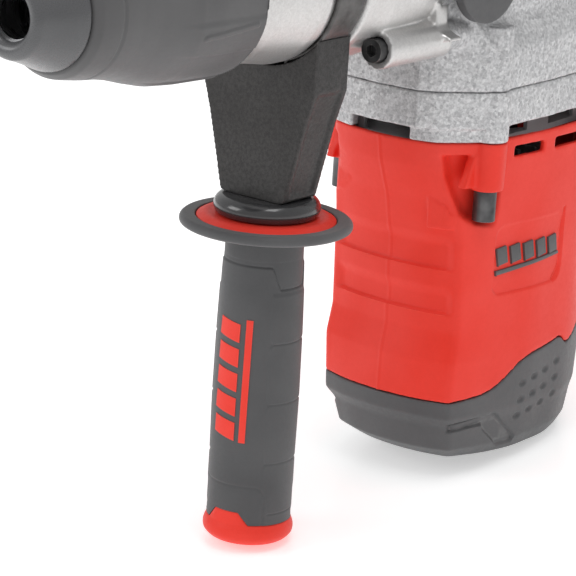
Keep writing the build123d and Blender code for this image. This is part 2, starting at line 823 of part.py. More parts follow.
# Motor -------------------------------------------------------------------------------
def make_motor():
    """Armature, commutator, fan, bearings, stator, brushes and the air baffle."""
    with BuildPart() as shaft:
        with BuildSketch(Plane.XY.offset(-214)):
            with Locations((MOTOR_X, 0)):
                Circle(5.0)
        extrude(amount=214 - 61)
        with BuildSketch(Plane.XY.offset(-61)):
            with BuildLine():
                Polyline(*gear_outline(PINION_TEETH, GEAR_MODULE, MOTOR_X, addendum=0.95), close=True)
            make_face()
        extrude(amount=17)
    write(shaft, "armature_shaft")

    with BuildPart() as core:
        with BuildSketch(Plane.XY.offset(STACK_LOW_Z)):
            with Locations((MOTOR_X, 0)):
                Circle(STACK_R)
                Circle(5.02, mode=Mode.SUBTRACT)
                with PolarLocations(STACK_R - 3, 12):
                    Rectangle(9, 1.6, mode=Mode.SUBTRACT)
        extrude(amount=STACK_TOP_Z - STACK_LOW_Z)
    write(core, "armature_core")

    commutator = turned_upright([(5.02, -196), (13.0, -196), (13.0, -176), (5.02, -176)], MOTOR_X)
    write(commutator, "commutator")

    with BuildPart() as fan:
        with BuildSketch(Plane.XY.offset(-100)):
            with Locations((MOTOR_X, 0)):
                Circle(34)
                Circle(5.02, mode=Mode.SUBTRACT)
        extrude(amount=2)
        with BuildSketch(Plane.XY.offset(-98)):
            with Locations((MOTOR_X, 0)):
                Circle(11)
                Circle(5.02, mode=Mode.SUBTRACT)
                with PolarLocations(23, 20):
                    Rectangle(20, 1.4)
        extrude(amount=9)
    write(fan, "cooling_fan")

    upper = Plane.XY.offset(-71.0).move(Location((MOTOR_X, 0, 0)))
    lower = Plane.XY.offset(-207.0).move(Location((MOTOR_X, 0, 0)))
    write(bearing(upper, 5.0 + FIT, 13.0, 9, 8), "motor_bearing_upper")
    write(bearing(lower, 5.0 + FIT, 11.0, 8, 8), "motor_bearing_lower")

    with BuildPart() as stator:
        with BuildSketch(Plane.XY.offset(STACK_LOW_Z)):
            with Locations((MOTOR_X, 0)):
                Circle(STATOR_R)
                Rectangle(2 * STATOR_R, 2 * 37.5, mode=Mode.INTERSECT)
                Circle(STACK_R + 0.6, mode=Mode.SUBTRACT)
                with Locations((0, STACK_R + 5), (0, -STACK_R - 5)):
                    Rectangle(30, 9, mode=Mode.SUBTRACT)
        extrude(amount=STACK_TOP_Z - STACK_LOW_Z)
    write(stator, "stator")

    with BuildPart() as holders:
        for side in (-1, 1):
            with BuildSketch(Plane.XY.offset(-192)):
                with Locations((MOTOR_X, side * 23)):
                    Rectangle(12, 17)
                    Rectangle(7.2, 17, mode=Mode.SUBTRACT)
            extrude(amount=12)
    write(holders, "brush_holders")
    for name, side in (("carbon_brush_left", 1), ("carbon_brush_right", -1)):
        with BuildPart() as brush:
            with Locations((MOTOR_X, side * 20.1, -186)):
                Box(7.0, 14, 10)
        write(brush, name)

    with BuildPart() as baffle:
        with BuildSketch(Plane.XY.offset(LIP_Z - 3.5)):
            with BuildLine():
                Polyline(*case_outline(9.5), close=True)
            make_face()
            with Locations((MOTOR_X, 0)):
                Circle(30, mode=Mode.SUBTRACT)
            with Locations(*CASE_SCREWS):
                Circle(9.0, mode=Mode.SUBTRACT)
        extrude(amount=2.5)
        with BuildSketch(Plane.XY.offset(LIP_Z - 1.0)):
            with BuildLine():
                Polyline(*case_outline(9.5), close=True)
            make_face()
            with BuildLine():
                Polyline(*case_outline(11.5), close=True)
            make_face(mode=Mode.SUBTRACT)
            with Locations((-285, 0), (-325, 0)):
                Rectangle(22, 120, mode=Mode.SUBTRACT)
            with Locations((-240, 0)):
                Rectangle(20, 26, mode=Mode.SUBTRACT)
            with Locations(*CASE_SCREWS):
                Circle(9.0, mode=Mode.SUBTRACT)
        extrude(amount=SKIRT_Z - LIP_Z + 0.9)
    write(baffle, "air_baffle")


# Motor housing and base ----------------------------------------------------------------
# height, front centre, set-back of the front ridge, ridge half width, side half width, rear
STATIONS = [
    (LIP_Z, -232.0, 6.0, 27.0, 43.2, HOUSING_REAR_X),
    (-90.0, -234.5, 7.0, 29.5, 43.0, HOUSING_REAR_X),
    (-106.0, -241.0, 6.5, 33.0, 42.6, HOUSING_REAR_X),
    (-121.0, -244.5, 6.0, 34.0, 42.3, HOUSING_REAR_X),
    (-165.0, -247.2, 6.0, 34.5, 42.3, HOUSING_REAR_X),
    (-178.0, -244.6, 6.0, 35.0, 42.5, HOUSING_REAR_X),
    (-205.0, -244.4, 7.0, 34.0, 41.5, -365.0),
    (-219.0, -250.5, 8.0, 31.0, 39.0, -363.0),
    (BASE_Z, -262.0, 5.0, 25.0, 35.4, -360.0),
]


def housing_outline(front, setback, ridge, side, rear, inset):
    """Plan of the motor housing at one height."""
    half = [
        (front - inset, 0.0),
        (front - 0.25 * setback - inset, 0.55 * ridge),
        (front - setback - inset, ridge - 0.4 * inset),
        (front - setback - 16 - 0.5 * inset, side - 2.0 - inset),
        (-300.0, side - inset),
        (rear + 32, side - 1.2 - inset),
        (rear + 8 + 0.5 * inset, 0.75 * side - inset),
        (rear + inset, 0.35 * side),
    ]
    return half + [(x, -y) for x, y in reversed(half) if y]


def housing_loft(inset, stations):
    """The housing's outer form, or its cavity when inset is the wall thickness."""
    with BuildPart() as form:
        for z, front, setback, ridge, side, rear in stations:
            with BuildSketch(Plane.XY.offset(z)):
                with BuildLine():
                    Polyline(*housing_outline(front, setback, ridge, side, rear, inset), close=True)
                make_face()
        loft(ruled=True)
    return form


def parting_region(above, shift):
    """Side-view region above or below the line where the red housing meets the base."""
    line = [
        (-215.0, -197.5),
        (-262.0, -195.5),
        (-276.0, -193.8),
        (-286.0, -188.5),
        (-296.0, -181.5),
        (-316.0, -179.0),
        (-325.5, -176.6),
        (-331.5, -183.5),
        (-352.0, -170.0),
        (-385.0, -166.0),
    ]
    end_z = 0.0 if above else -300.0
    points = [(x, z + shift) for x, z in line] + [(-385.0, end_z), (-215.0, end_z)]
    with BuildPart() as region:
        with BuildSketch(Plane.XZ.offset(-80)):
            with BuildLine():
                Polyline(*points, close=True)
            make_face()
        extrude(amount=160)
    return region


def make_housings():
    """Red motor housing and the dark base it stands on."""
    outer = housing_loft(0, STATIONS)
    inner_stations = [(LIP_Z + 2,) + STATIONS[0][1:]] + STATIONS[1:-1]
    inner_stations.append((BASE_Z + 4,) + STATIONS[-1][1:])
    inner = housing_loft(WALL, inner_stations)
    pocket_z = BOSS_LOW_Z - SCREW_DRIVE - 2.0
    with BuildPart() as cavity:
        add(inner.part)
        for x, y in CASE_SCREWS:
            with Locations((x, y, pocket_z - WALL)):
                Cylinder(8.4, 60, align=(Align.CENTER, Align.CENTER, Align.MIN), mode=Mode.SUBTRACT)
    with BuildPart() as housing:
        add(outer.part)
        for x, y in CASE_SCREWS:
            with Locations((x, y, BOSS_LOW_Z)):
                Cylinder(8.0, TAB_Z - BOSS_LOW_Z - 0.1, align=(Align.CENTER, Align.CENTER, Align.MIN))
        add(cavity.part, mode=Mode.SUBTRACT)
        for x, y in CASE_SCREWS:
            with Locations((x, y, TAB_Z - 0.1)):
                Cylinder(8.4, 20, align=(Align.CENTER, Align.CENTER, Align.MIN), mode=Mode.SUBTRACT)
                Cylinder(M6_R + FIT, 80, mode=Mode.SUBTRACT)
            with Locations((x, y, BOSS_LOW_Z)):
                Cylinder(
                    M6_HEAD_R + GAP,
                    BOSS_LOW_Z - pocket_z,
                    align=(Align.CENTER, Align.CENTER, Align.MAX),
                    mode=Mode.SUBTRACT,
                )
        for side in (-1, 1):
            for low_x, high_x in ((-300.0, -279.4), (-331.0, -308.8)):
                with Locations(((low_x + high_x) / 2, side * CASE_SIDE_Y, -85.3)):
                    Box(high_x - low_x, 12, 4.9, mode=Mode.SUBTRACT)
        add(parting_region(True, 0.1).part, mode=Mode.INTERSECT)
    write(housing, "motor_housing")

    with BuildPart() as base:
        add(outer.part)
        add(inner.part, mode=Mode.SUBTRACT)
        with BuildSketch(Plane.XY.offset(BASE_Z + 3)):
            with Locations((MOTOR_X, 0)):
                Circle(14.5)
        extrude(amount=20)
        with Locations((MOTOR_X, 0, -211.1)):
            Cylinder(11.1, 30, align=(Align.CENTER, Align.CENTER, Align.MIN), mode=Mode.SUBTRACT)
        with Locations((MOTOR_X, 0, -216)):
            Cylinder(6.0, 10, align=(Align.CENTER, Align.CENTER, Align.MIN), mode=Mode.SUBTRACT)
        add(parting_region(False, -0.1).part, mode=Mode.INTERSECT)
    write(base, "base_cap")


# Rear handle -----------------------------------------------------------------------------
GRIP_X = -434.0
HANDLE_SIDE = 34.0
HANDLE_THICK = 30.0
TRIGGER_Z = -22.0
GLAND_Z = -125.0
HANDLE_SCREWS = [(-388.0, 12.0), (-420.0, 8.0), (-438.0, -80.0), (-390.0, -122.0)]


def handle_sweep(grow=0.0):
    """The D of the rear handle as one solid, before it is split into halves."""
    with BuildPart() as loop:
        with BuildLine() as path:
            FilletPolyline(
                (CASE_REAR_X - 0.1, 0, 16.0),
                (GRIP_X + 2, 0, 20.0),
                (GRIP_X - 8, 0, -112.0),
                (HOUSING_REAR_X - 0.1, 0, -128.0),
                radius=24,
            )
        with BuildSketch(Plane(path.line @ 0, x_dir=(0, 1, 0), z_dir=path.line % 0)):
            RectangleRounded(HANDLE_SIDE + 2 * grow, HANDLE_THICK + 2 * grow, 9 + grow)
        sweep()
        with Locations((CASE_REAR_X + 29.9, 0, -20)):
            Box(60, 120, 104, mode=Mode.SUBTRACT)
        with Locations((HOUSING_REAR_X + 29.9, 0, -120)):
            Box(60, 120, 104, mode=Mode.SUBTRACT)
    return loop


def make_rear_handle():
    """Two handle shells, soft grip, trigger, lock button, dial, switch and cord gland."""
    loop = handle_sweep()
    trigger_x = GRIP_X + 13.0
    button_z = -44.0
    dial_x = -398.0
    with BuildPart() as hollow:
        add(loop.part)
        with Locations((GRIP_X + 1, 0, TRIGGER_Z)):
            Box(22, 24, 56, mode=Mode.SUBTRACT)
        with Locations((GRIP_X + 14, 0, TRIGGER_Z)):
            Box(26, 15, 46, mode=Mode.SUBTRACT)
        with Locations(Location((GRIP_X - 2, 12, button_z), (90, 0, 0))):
            Cylinder(5.0 + GAP, 30, mode=Mode.SUBTRACT)
        with Locations(Location((dial_x, 0, 28.0), (90, 0, 0))):
            Cylinder(11.0 + GAP, 7.6, mode=Mode.SUBTRACT)
        with Locations((GRIP_X - 8, 0, GLAND_Z)):
            Cylinder(6.0, 40, mode=Mode.SUBTRACT)
            Cylinder(9.1, 30, align=(Align.CENTER, Align.CENTER, Align.MAX), mode=Mode.SUBTRACT)
        for x, z in HANDLE_SCREWS:
            with Locations(Location((x, 0, z), (90, 0, 0))):
                Cylinder(2.05, 60, mode=Mode.SUBTRACT)
            with Locations(Location((x, -13.0, z), (90, 0, 0))):
                Cylinder(4.0, 10, align=(Align.CENTER, Align.CENTER, Align.MIN), mode=Mode.SUBTRACT)
    for name, side in (("rear_handle_left", 1), ("rear_handle_right", -1)):
        with BuildPart() as shell:
            add(hollow.part)
            with Locations((-410, side * 50.05, -50)):
                Box(200, 100, 300, mode=Mode.INTERSECT)
        write(shell, name)

    grown = handle_sweep(2.0)
    with BuildPart() as soft:
        add(grown.part)
        add(handle_sweep(0.05).part, mode=Mode.SUBTRACT)
        with Locations((GRIP_X - 22, 0, -50)):
            Box(40, 60, 92, mode=Mode.INTERSECT)
        with Locations(Location((GRIP_X - 2, 12, button_z), (90, 0, 0))):
            Cylinder(5.0 + GAP, 30, mode=Mode.SUBTRACT)
    write(soft, "rear_grip_cover")

    with BuildPart() as trigger:
        with Locations((trigger_x + 2.0, 0, TRIGGER_Z)):
            Box(20, 14, 44)
        fillet(trigger.edges().filter_by(Axis.Y).group_by(Axis.X)[-1], 5.0)
        with BuildSketch(Plane.XZ.offset(-20)):
            with Locations((trigger_x + 19, TRIGGER_Z - 4)):
                Circle(9.0)
        extrude(amount=40, mode=Mode.SUBTRACT)
    write(trigger, "trigger")
    with BuildPart() as switch:
        with Locations((GRIP_X - 5.5, 0, TRIGGER_Z)):
            Box(8.0, 18, 54)
    write(switch, "switch_body")
    with BuildPart() as button:
        with Locations(Location((GRIP_X - 2, 15.4, button_z), (90, 0, 0))):
            Cylinder(5.0, 6.6)
    write(button, "lock_button")
    with BuildPart() as dial:
        with Locations(Location((dial_x, 0, 28.0), (90, 0, 0))):
            Cylinder(11.0, 7.0)
    write(dial, "speed_dial")
    with BuildPart() as gland:
        with BuildSketch(Plane.XY.offset(GLAND_Z)):
            with Locations((GRIP_X - 8, 0)):
                Circle(9.0)
                Circle(4.0, mode=Mode.SUBTRACT)
        extrude(amount=-17, taper=5)
        with BuildSketch(Plane.XY.offset(GLAND_Z)):
            with Locations((GRIP_X - 8, 0)):
                Circle(5.8)
                Circle(4.0, mode=Mode.SUBTRACT)
        extrude(amount=12)
    write(gland, "cord_gland")
    with BuildPart() as screws:
        for x, z in HANDLE_SCREWS:
            cap_screw(Location((x, -13.0, z), (90, 0, 0)), 26, 3.8, 3.0, 2.0)
    write(screws, "handle_screws")


make_chuck()
make_neck()
make_side_handle()
make_gear_case()
make_mode_switch()
make_hammer()
make_drive()
make_motor()
make_housings()
make_rear_handle()
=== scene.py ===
"""Looks, lights and camera of a rotary hammer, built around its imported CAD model.

Lengths in this file are millimetres in the CAD frame unless a name says
otherwise: +X runs out of the tool holder, +Y to the operator's left, +Z up.
"""

import json
import logging
import math
from collections.abc import Callable, Sequence
from dataclasses import dataclass
from enum import Enum

import bpy
import numpy as np
from mathutils import Matrix, Vector

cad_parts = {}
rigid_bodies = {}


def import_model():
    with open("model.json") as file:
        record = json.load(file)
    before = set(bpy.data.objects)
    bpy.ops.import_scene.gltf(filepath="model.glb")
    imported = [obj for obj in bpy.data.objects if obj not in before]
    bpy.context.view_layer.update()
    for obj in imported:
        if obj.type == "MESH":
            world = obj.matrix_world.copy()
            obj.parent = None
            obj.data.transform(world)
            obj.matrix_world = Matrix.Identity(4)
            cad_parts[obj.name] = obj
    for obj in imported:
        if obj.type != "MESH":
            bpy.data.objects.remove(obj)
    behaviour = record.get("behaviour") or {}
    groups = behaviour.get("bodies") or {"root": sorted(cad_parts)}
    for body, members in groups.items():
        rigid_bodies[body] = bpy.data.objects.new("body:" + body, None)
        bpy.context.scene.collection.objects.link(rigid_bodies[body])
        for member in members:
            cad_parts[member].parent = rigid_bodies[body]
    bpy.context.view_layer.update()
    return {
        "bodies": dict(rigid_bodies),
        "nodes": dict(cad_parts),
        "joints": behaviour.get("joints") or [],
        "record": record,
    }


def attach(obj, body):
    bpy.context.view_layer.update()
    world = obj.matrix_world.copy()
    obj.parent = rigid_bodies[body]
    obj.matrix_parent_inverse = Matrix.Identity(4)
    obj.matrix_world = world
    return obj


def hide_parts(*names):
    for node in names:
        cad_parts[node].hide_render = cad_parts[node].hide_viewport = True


LOG = logging.getLogger("rotary_hammer")
MM = 0.001

Array = np.ndarray
Colour = tuple[float, float, float]
WHITE = (1.0, 1.0, 1.0, 1.0)


class Body(Enum):
    """The moving bodies that new pieces ride on."""

    HOUSING = "housing"
    SPINDLE = "spindle"
    SLEEVE = "sleeve"
    SIDE_HANDLE = "side_handle"
    SIDE_GRIP = "side_grip"
    MODE_SWITCH = "mode_switch"


class Along(Enum):
    """Axis that a turned piece or a relief is laid out about."""

    SPINDLE = 0
    UPRIGHT = 2


# Mesh helpers ------------------------------------------------------------------


def smooth_step(value: Array, low: float, high: float) -> Array:
    """Rises smoothly from 0 at low to 1 at high.

    Args:
        value: Numbers to map.
        low: Where the step starts.
        high: Where the step ends; below low for a falling step.

    Returns:
        The stepped numbers, from 0 to 1.
    """
    share = np.clip((value - low) / (high - low), 0.0, 1.0)
    return share * share * (3.0 - 2.0 * share)


def rounded_box(u: Array, v: Array, half_u: float, half_v: float, corner: float) -> Array:
    """Distance outside a rounded rectangle centred on the origin, negative inside.

    Args:
        u: First coordinates, relative to the centre.
        v: Second coordinates, relative to the centre.
        half_u: Half of the width.
        half_v: Half of the height.
        corner: Corner radius.

    Returns:
        Signed distances.
    """
    across = np.abs(u) - (half_u - corner)
    upward = np.abs(v) - (half_v - corner)
    outside = np.hypot(np.maximum(across, 0.0), np.maximum(upward, 0.0))
    return outside + np.minimum(np.maximum(across, upward), 0.0) - corner


def line_distance(u: Array, v: Array, points: Sequence[tuple[float, float]]) -> Array:
    """Distance of each point from an open line of straight runs.

    Args:
        u: First coordinates.
        v: Second coordinates.
        points: Corners of the line.

    Returns:
        Distances from the nearest run.
    """
    best = np.full(np.shape(u), 1e6)
    for (au, av), (bu, bv) in zip(points, points[1:]):
        du, dv = bu - au, bv - av
        share = np.clip(((u - au) * du + (v - av) * dv) / (du * du + dv * dv), 0.0, 1.0)
        best = np.minimum(best, np.hypot(u - au - share * du, v - av - share * dv))
    return best


def mesh_object(name: str, vertices: Array, faces: Sequence[Sequence[int]]) -> bpy.types.Object:
    """Makes a linked mesh object from millimetre vertices.

    Args:
        name: Object name.
        vertices: An n by 3 array in millimetres.
        faces: Vertex numbers of each face.

    Returns:
        The new object, at the origin.
    """
    mesh = bpy.data.meshes.new(name)
    mesh.from_pydata((np.asarray(vertices) * MM).tolist(), [], [list(face) for face in faces])
    mesh.validate()
    mesh.update()
    made = bpy.data.objects.new(name, mesh)
    bpy.context.scene.collection.objects.link(made)
    return made


def ring_faces(rows: int, columns: int) -> list[tuple[int, int, int, int]]:
    """Quads of a grid that closes on itself in both directions.

    Args:
        rows: Number of rings.
        columns: Points in each ring.

    Returns:
        Vertex numbers of each quad.
    """
    return [
        (i * columns + j, i * columns + (j + 1) % columns,
         (i + 1) % rows * columns + (j + 1) % columns, (i + 1) % rows * columns + j)
        for i in range(rows)
        for j in range(columns)
    ]


def read_points(obj: bpy.types.Object) -> Array:
    """The vertices of a mesh object in millimetres.

    Args:
        obj: The mesh object.

    Returns:
        An n by 3 array.
    """
    points = np.empty(len(obj.data.vertices) * 3, np.float32)
    obj.data.vertices.foreach_get("co", points)
    return points.reshape(-1, 3).astype(float) / MM


def read_normals(obj: bpy.types.Object) -> Array:
    """The vertex normals of a mesh object.

    Args:
        obj: The mesh object.

    Returns:
        An n by 3 array.
    """
    normals = np.empty(len(obj.data.vertices) * 3, np.float32)
    obj.data.vertex_normals.foreach_get("vector", normals)
    return normals.reshape(-1, 3).astype(float)


def write_points(obj: bpy.types.Object, points: Array) -> None:
    """Sets the vertices of a mesh object from millimetre points."""
    obj.data.vertices.foreach_set("co", (points * MM).astype(np.float32).ravel())
    obj.data.update()


def bake_modifiers(obj: bpy.types.Object) -> None:
    """Replaces an object's mesh with what its modifiers make of it.

    Args:
        obj: The mesh object.
    """
    graph = bpy.context.evaluated_depsgraph_get()
    baked = bpy.data.meshes.new_from_object(obj.evaluated_get(graph))
    old = obj.data
    obj.modifiers.clear()
    obj.data = baked
    bpy.data.meshes.remove(old)


def shade(obj: bpy.types.Object, sharp_degrees: float = 40.0) -> None:
    """Smooth shading that keeps edges sharper than an angle."""
    obj.data.shade_smooth()
    obj.data.set_sharp_from_angle(angle=math.radians(sharp_degrees))


def join(target: bpy.types.Object, extras: Sequence[bpy.types.Object]) -> None:
    """Adds the meshes of extras to target and removes the extras.

    Args:
        target: The object that is changed.
        extras: Objects whose meshes are added.
    """
    points = [read_points(target)]
    faces = [list(p.vertices) for p in target.data.polygons]
    count = len(points[0])
    for extra in extras:
        points.append(read_points(extra))
        faces += [[i + count for i in p.vertices] for p in extra.data.polygons]
        count += len(points[-1])
        bpy.data.objects.remove(extra)
    mesh = bpy.data.meshes.new(target.name)
    mesh.from_pydata((np.vstack(points) * MM).tolist(), [], faces)
    mesh.update()
    target.data = mesh


def carve(target: bpy.types.Object, cutters: Sequence[bpy.types.Object]) -> None:
    """Cuts each cutter out of target and removes the cutters.

    Args:
        target: The object that is changed.
        cutters: Closed solids to cut away.
    """
    for cutter in cutters:
        cut = target.modifiers.new("cut", "BOOLEAN")
        cut.operation, cut.solver, cut.object = "DIFFERENCE", "EXACT", cutter
        bake_modifiers(target)
        bpy.data.objects.remove(cutter)


def remesh(obj: bpy.types.Object, voxel: float, rounds: int, strength: float = 0.5) -> None:
    """Fuses a mesh into one even skin and softens its edges.

    Args:
        obj: Closed mesh, or several overlapping closed meshes.
        voxel: Size of the new faces in millimetres.
        rounds: Smoothing passes; more passes give rounder edges.
        strength: Strength of each pass.
    """
    skin = obj.modifiers.new("skin", "REMESH")
    skin.mode, skin.voxel_size, skin.use_smooth_shade = "VOXEL", voxel * MM, True
    if rounds:
        soften = obj.modifiers.new("soften", "SMOOTH")
        soften.factor, soften.iterations = strength, rounds
    bake_modifiers(obj)


def turned(
    name: str,
    profile: Callable[[Array], Array],
    along: Along,
    centre: tuple[float, float] = (0.0, 0.0),
    steps: int = 240,
) -> bpy.types.Object:
    """A closed solid turned about an axis, whose profile may change round the turn.

    Args:
        name: Object name.
        profile: Takes one angle and returns an m by 2 closed profile of
            (place along the axis, radius).
        along: Axis of the turn.
        centre: The axis's place in the other two coordinates.
        steps: Steps round the turn.

    Returns:
        The new object.
    """
    rings = []
    for angle in np.linspace(0.0, 2 * math.pi, steps, endpoint=False):
        ring = profile(angle)
        place, radius = ring[:, 0], ring[:, 1]
        if along is Along.SPINDLE:
            rings.append(np.column_stack([place, centre[0] + radius * math.cos(angle),
                                          centre[1] + radius * math.sin(angle)]))
        else:
            rings.append(np.column_stack([centre[0] + radius * math.cos(angle),
                                          centre[1] + radius * math.sin(angle), place]))
    made = mesh_object(name, np.vstack(rings), ring_faces(steps, len(rings[0])))
    outward(made)
    return made


def outward(obj: bpy.types.Object) -> None:
    """Turns the faces of a closed mesh outward.

    Args:
        obj: The mesh object.
    """
    points = read_points(obj)
    mesh = obj.data
    mesh.calc_loop_triangles()
    corners = np.empty(len(mesh.loop_triangles) * 3, np.int32)
    mesh.loop_triangles.foreach_get("vertices", corners)
    a, b, c = (points[corners.reshape(-1, 3)[:, k]] for k in range(3))
    if np.einsum("ij,ij->i", a, np.cross(b, c)).sum() < 0:
        mesh.flip_normals()


def rounded_profile(points: Sequence[tuple[float, float, float]], step: float = 0.5) -> Array:
    """A closed profile whose corners are rounded to their own radii.

    Args:
        points: (first, second, corner radius) of each corner.
        step: Spacing of the points put on the straight runs.

    Returns:
        The profile as an n by 2 array.
    """
    corners = [np.array(p[:2], float) for p in points]
    made: list[Array] = []
    for i, here in enumerate(corners):
        before, after = corners[i - 1], corners[(i + 1) % len(corners)]
        back, ahead = before - here, after - here
        room = 0.45 * min(np.linalg.norm(back), np.linalg.norm(ahead))
        back, ahead = back / np.linalg.norm(back), ahead / np.linalg.norm(ahead)
        reach = min(points[i][2], room)
        for t in np.linspace(0.0, 1.0, 5 if reach > 0 else 1):
            made.append((1 - t) ** 2 * (here + reach * back) + 2 * t * (1 - t) * here
                        + t * t * (here + reach * ahead))
    dense: list[Array] = []
    for a, b in zip(made, made[1:] + made[:1]):
        count = max(1, round(float(np.linalg.norm(b - a)) / step))
        dense += [a + (b - a) * k / count for k in range(count)]
    return np.array(dense)


def lathe(
    name: str,
    points: Sequence[tuple[float, float, float]],
    along: Along,
    centre: tuple[float, float] = (0.0, 0.0),
    steps: int = 240,
) -> bpy.types.Object:
    """A plain turned solid from (place along the axis, radius, corner radius) points."""
    ring = rounded_profile(points)
    return turned(name, lambda angle: ring, along, centre, steps)


def prism(
    name: str,
    outline: Sequence[tuple[float, float]],
    low: float,
    high: float,
    axis: int = 2,
    taper: float = 1.0,
) -> bpy.types.Object:
    """A straight prism from an outline.

    Args:
        name: Object name.
        outline: Corners in the two coordinates other than axis, in order.
        low: Start along the axis.
        high: End along the axis.
        axis: 0, 1 or 2 for X, Y or Z.
        taper: Scale of the outline at the high end about its middle.

    Returns:
        The new object.
    """
    flat = np.array(outline, float)
    middle = flat.mean(0)
    ends = []
    for place, scale in ((low, 1.0), (high, taper)):
        ends.append(np.insert(middle + (flat - middle) * scale, axis, place, axis=1))
    n = len(flat)
    sides = [(i, (i + 1) % n, n + (i + 1) % n, n + i) for i in range(n)]
    made = mesh_object(name, np.vstack(ends), [*sides, range(n)[::-1], range(n, 2 * n)])
    outward(made)
    return made


def copy_of(frame: dict, node: str, name: str) -> bpy.types.Object:
    """A new object with a copy of a CAD node's mesh.

    Args:
        node: CAD node to copy.
        name: Object name.

    Returns:
        The new object.
    """
    made = bpy.data.objects.new(name, frame["nodes"][node].data.copy())
    made.data.materials.clear()
    bpy.context.scene.collection.objects.link(made)
    return made


def weld(obj: bpy.types.Object) -> None:
    """Merges vertices in the same place.

    Args:
        obj: The mesh object.
    """
    merge = obj.modifiers.new("weld", "WELD")
    merge.merge_threshold = 0.002 * MM
    bake_modifiers(obj)


# Shader groups -----------------------------------------------------------------


class Wiring:
    """Adds and joins nodes in one shader tree."""

    def __init__(self, tree: bpy.types.NodeTree) -> None:
        """Starts with an existing tree."""
        self.tree = tree

    def add(self, kind: str, **inputs: object) -> bpy.types.Node:
        """Adds a node and sets or links its inputs.

        Args:
            kind: Node class name.
            **inputs: Values or output sockets by input name, with spaces as
                underscores; names of node properties set those.

        Returns:
            The new node.
        """
        node = self.tree.nodes.new(kind)
        for key, value in inputs.items():
            if hasattr(node, key):
                setattr(node, key, value)
        for key, value in inputs.items():
            if hasattr(node, key):
                continue
            label = int(key[1:]) if key[0] == "i" and key[1:].isdigit() else key.replace("_", " ")
            socket = node.inputs[label]
            if isinstance(value, bpy.types.NodeSocket):
                self.tree.links.new(value, socket)
            else:
                socket.default_value = value
        return node

    def math(self, operation: str, first: object, second: object = 0.0) -> bpy.types.NodeSocket:
        """The result of a Math node."""
        return self.add("ShaderNodeMath", operation=operation, i0=first, i1=second).outputs[0]

    def mix(self, share: object, first: object, second: object) -> bpy.types.NodeSocket:
        """The colour between two colours."""
        node = self.add("ShaderNodeMix", data_type="RGBA", i0=share, i6=first, i7=second)
        return node.outputs[2]

    def spread(
        self, value: object, low: float, high: float, start: float, end: float,
    ) -> bpy.types.NodeSocket:
        """Maps low..high to start..end, held at the ends.

        Args:
            value: Socket or number to map.
            low: Value that gives start.
            high: Value that gives end.
            start: Result at low.
            end: Result at high.

        Returns:
            The mapped value.
        """
        node = self.add("ShaderNodeMapRange", Value=value, From_Min=low, From_Max=high,
                        To_Min=start, To_Max=end)
        return node.outputs[0]


class ShaderGroup:
    """A node group with named inputs and outputs, built the first time it is used."""

    name = ""
    numbers: dict[str, float] = {}
    colours: dict[str, Colour] = {}
    results: dict[str, str] = {}

    def tree(self) -> bpy.types.NodeTree:
        """The group's node tree.

        Returns:
            The group's node tree.
        """
        found = bpy.data.node_groups.get(self.name)
        if found:
            return found
        tree = bpy.data.node_groups.new(self.name, "ShaderNodeTree")
        for label, value in self.numbers.items():
            made = tree.interface.new_socket(label, in_out="INPUT", socket_type="NodeSocketFloat")
            made.default_value = value
        for label, colour in self.colours.items():
            made = tree.interface.new_socket(label, in_out="INPUT", socket_type="NodeSocketColor")
            made.default_value = (*colour, 1.0)
        for label, kind in self.results.items():
            tree.interface.new_socket(label, in_out="OUTPUT", socket_type=kind)
        source = tree.nodes.new("NodeGroupInput")
        sink = tree.nodes.new("NodeGroupOutput")
        for label, socket in self.wire(Wiring(tree), source.outputs).items():
            tree.links.new(socket, sink.inputs[label])
        return tree

    def wire(self, wiring: Wiring, given: bpy.types.NodeOutputs) -> dict[str, bpy.types.NodeSocket]:
        """Builds the inside; returns the socket for each result."""
        raise NotImplementedError

    def place(self, wiring: Wiring, **inputs: object) -> bpy.types.Node:
        """Puts the group in a material with its own values.

        Args:
            wiring: Adds nodes to the tree being built.
            **inputs: Values or sockets by input name.

        Returns:
            The group node.
        """
        node = wiring.tree.nodes.new("ShaderNodeGroup")
        node.node_tree = self.tree()
        for key, value in inputs.items():
            socket = node.inputs[key.replace("_", " ")]
            if isinstance(value, bpy.types.NodeSocket):
                wiring.tree.links.new(value, socket)
            else:
                socket.default_value = (*value, 1.0) if isinstance(value, tuple) else value
        return node


class MouldGrain(ShaderGroup):
    """Spark-eroded mould texture: a fine bumpy height and its mask."""

    name = "mould_grain"
    numbers = {"Scale": 1500.0, "Softness": 0.5}
    results = {"Height": "NodeSocketFloat", "Mask": "NodeSocketFloat"}

    def wire(self, wiring: Wiring, given: bpy.types.NodeOutputs) -> dict[str, bpy.types.NodeSocket]:
        """Two noises of different sizes, added.

        Args:
            wiring: Adds nodes to the tree being built.
            given: Outputs of the group's input node.

        Returns:
            The socket that feeds each result.
        """
        place = wiring.add("ShaderNodeTexCoord").outputs["Object"]
        fine = wiring.add("ShaderNodeTexNoise", Vector=place, Scale=given["Scale"], Detail=3.0,
                          Roughness=given["Softness"]).outputs[0]
        coarse = wiring.math("MULTIPLY", given["Scale"], 0.31)
        wide = wiring.add("ShaderNodeTexNoise", Vector=place, Scale=coarse, Detail=2.0).outputs[0]
        height = wiring.math("MULTIPLY", wiring.math("ADD", fine, wide), 0.5)
        return {"Height": height, "Mask": wiring.spread(height, 0.38, 0.62, 0.0, 1.0)}


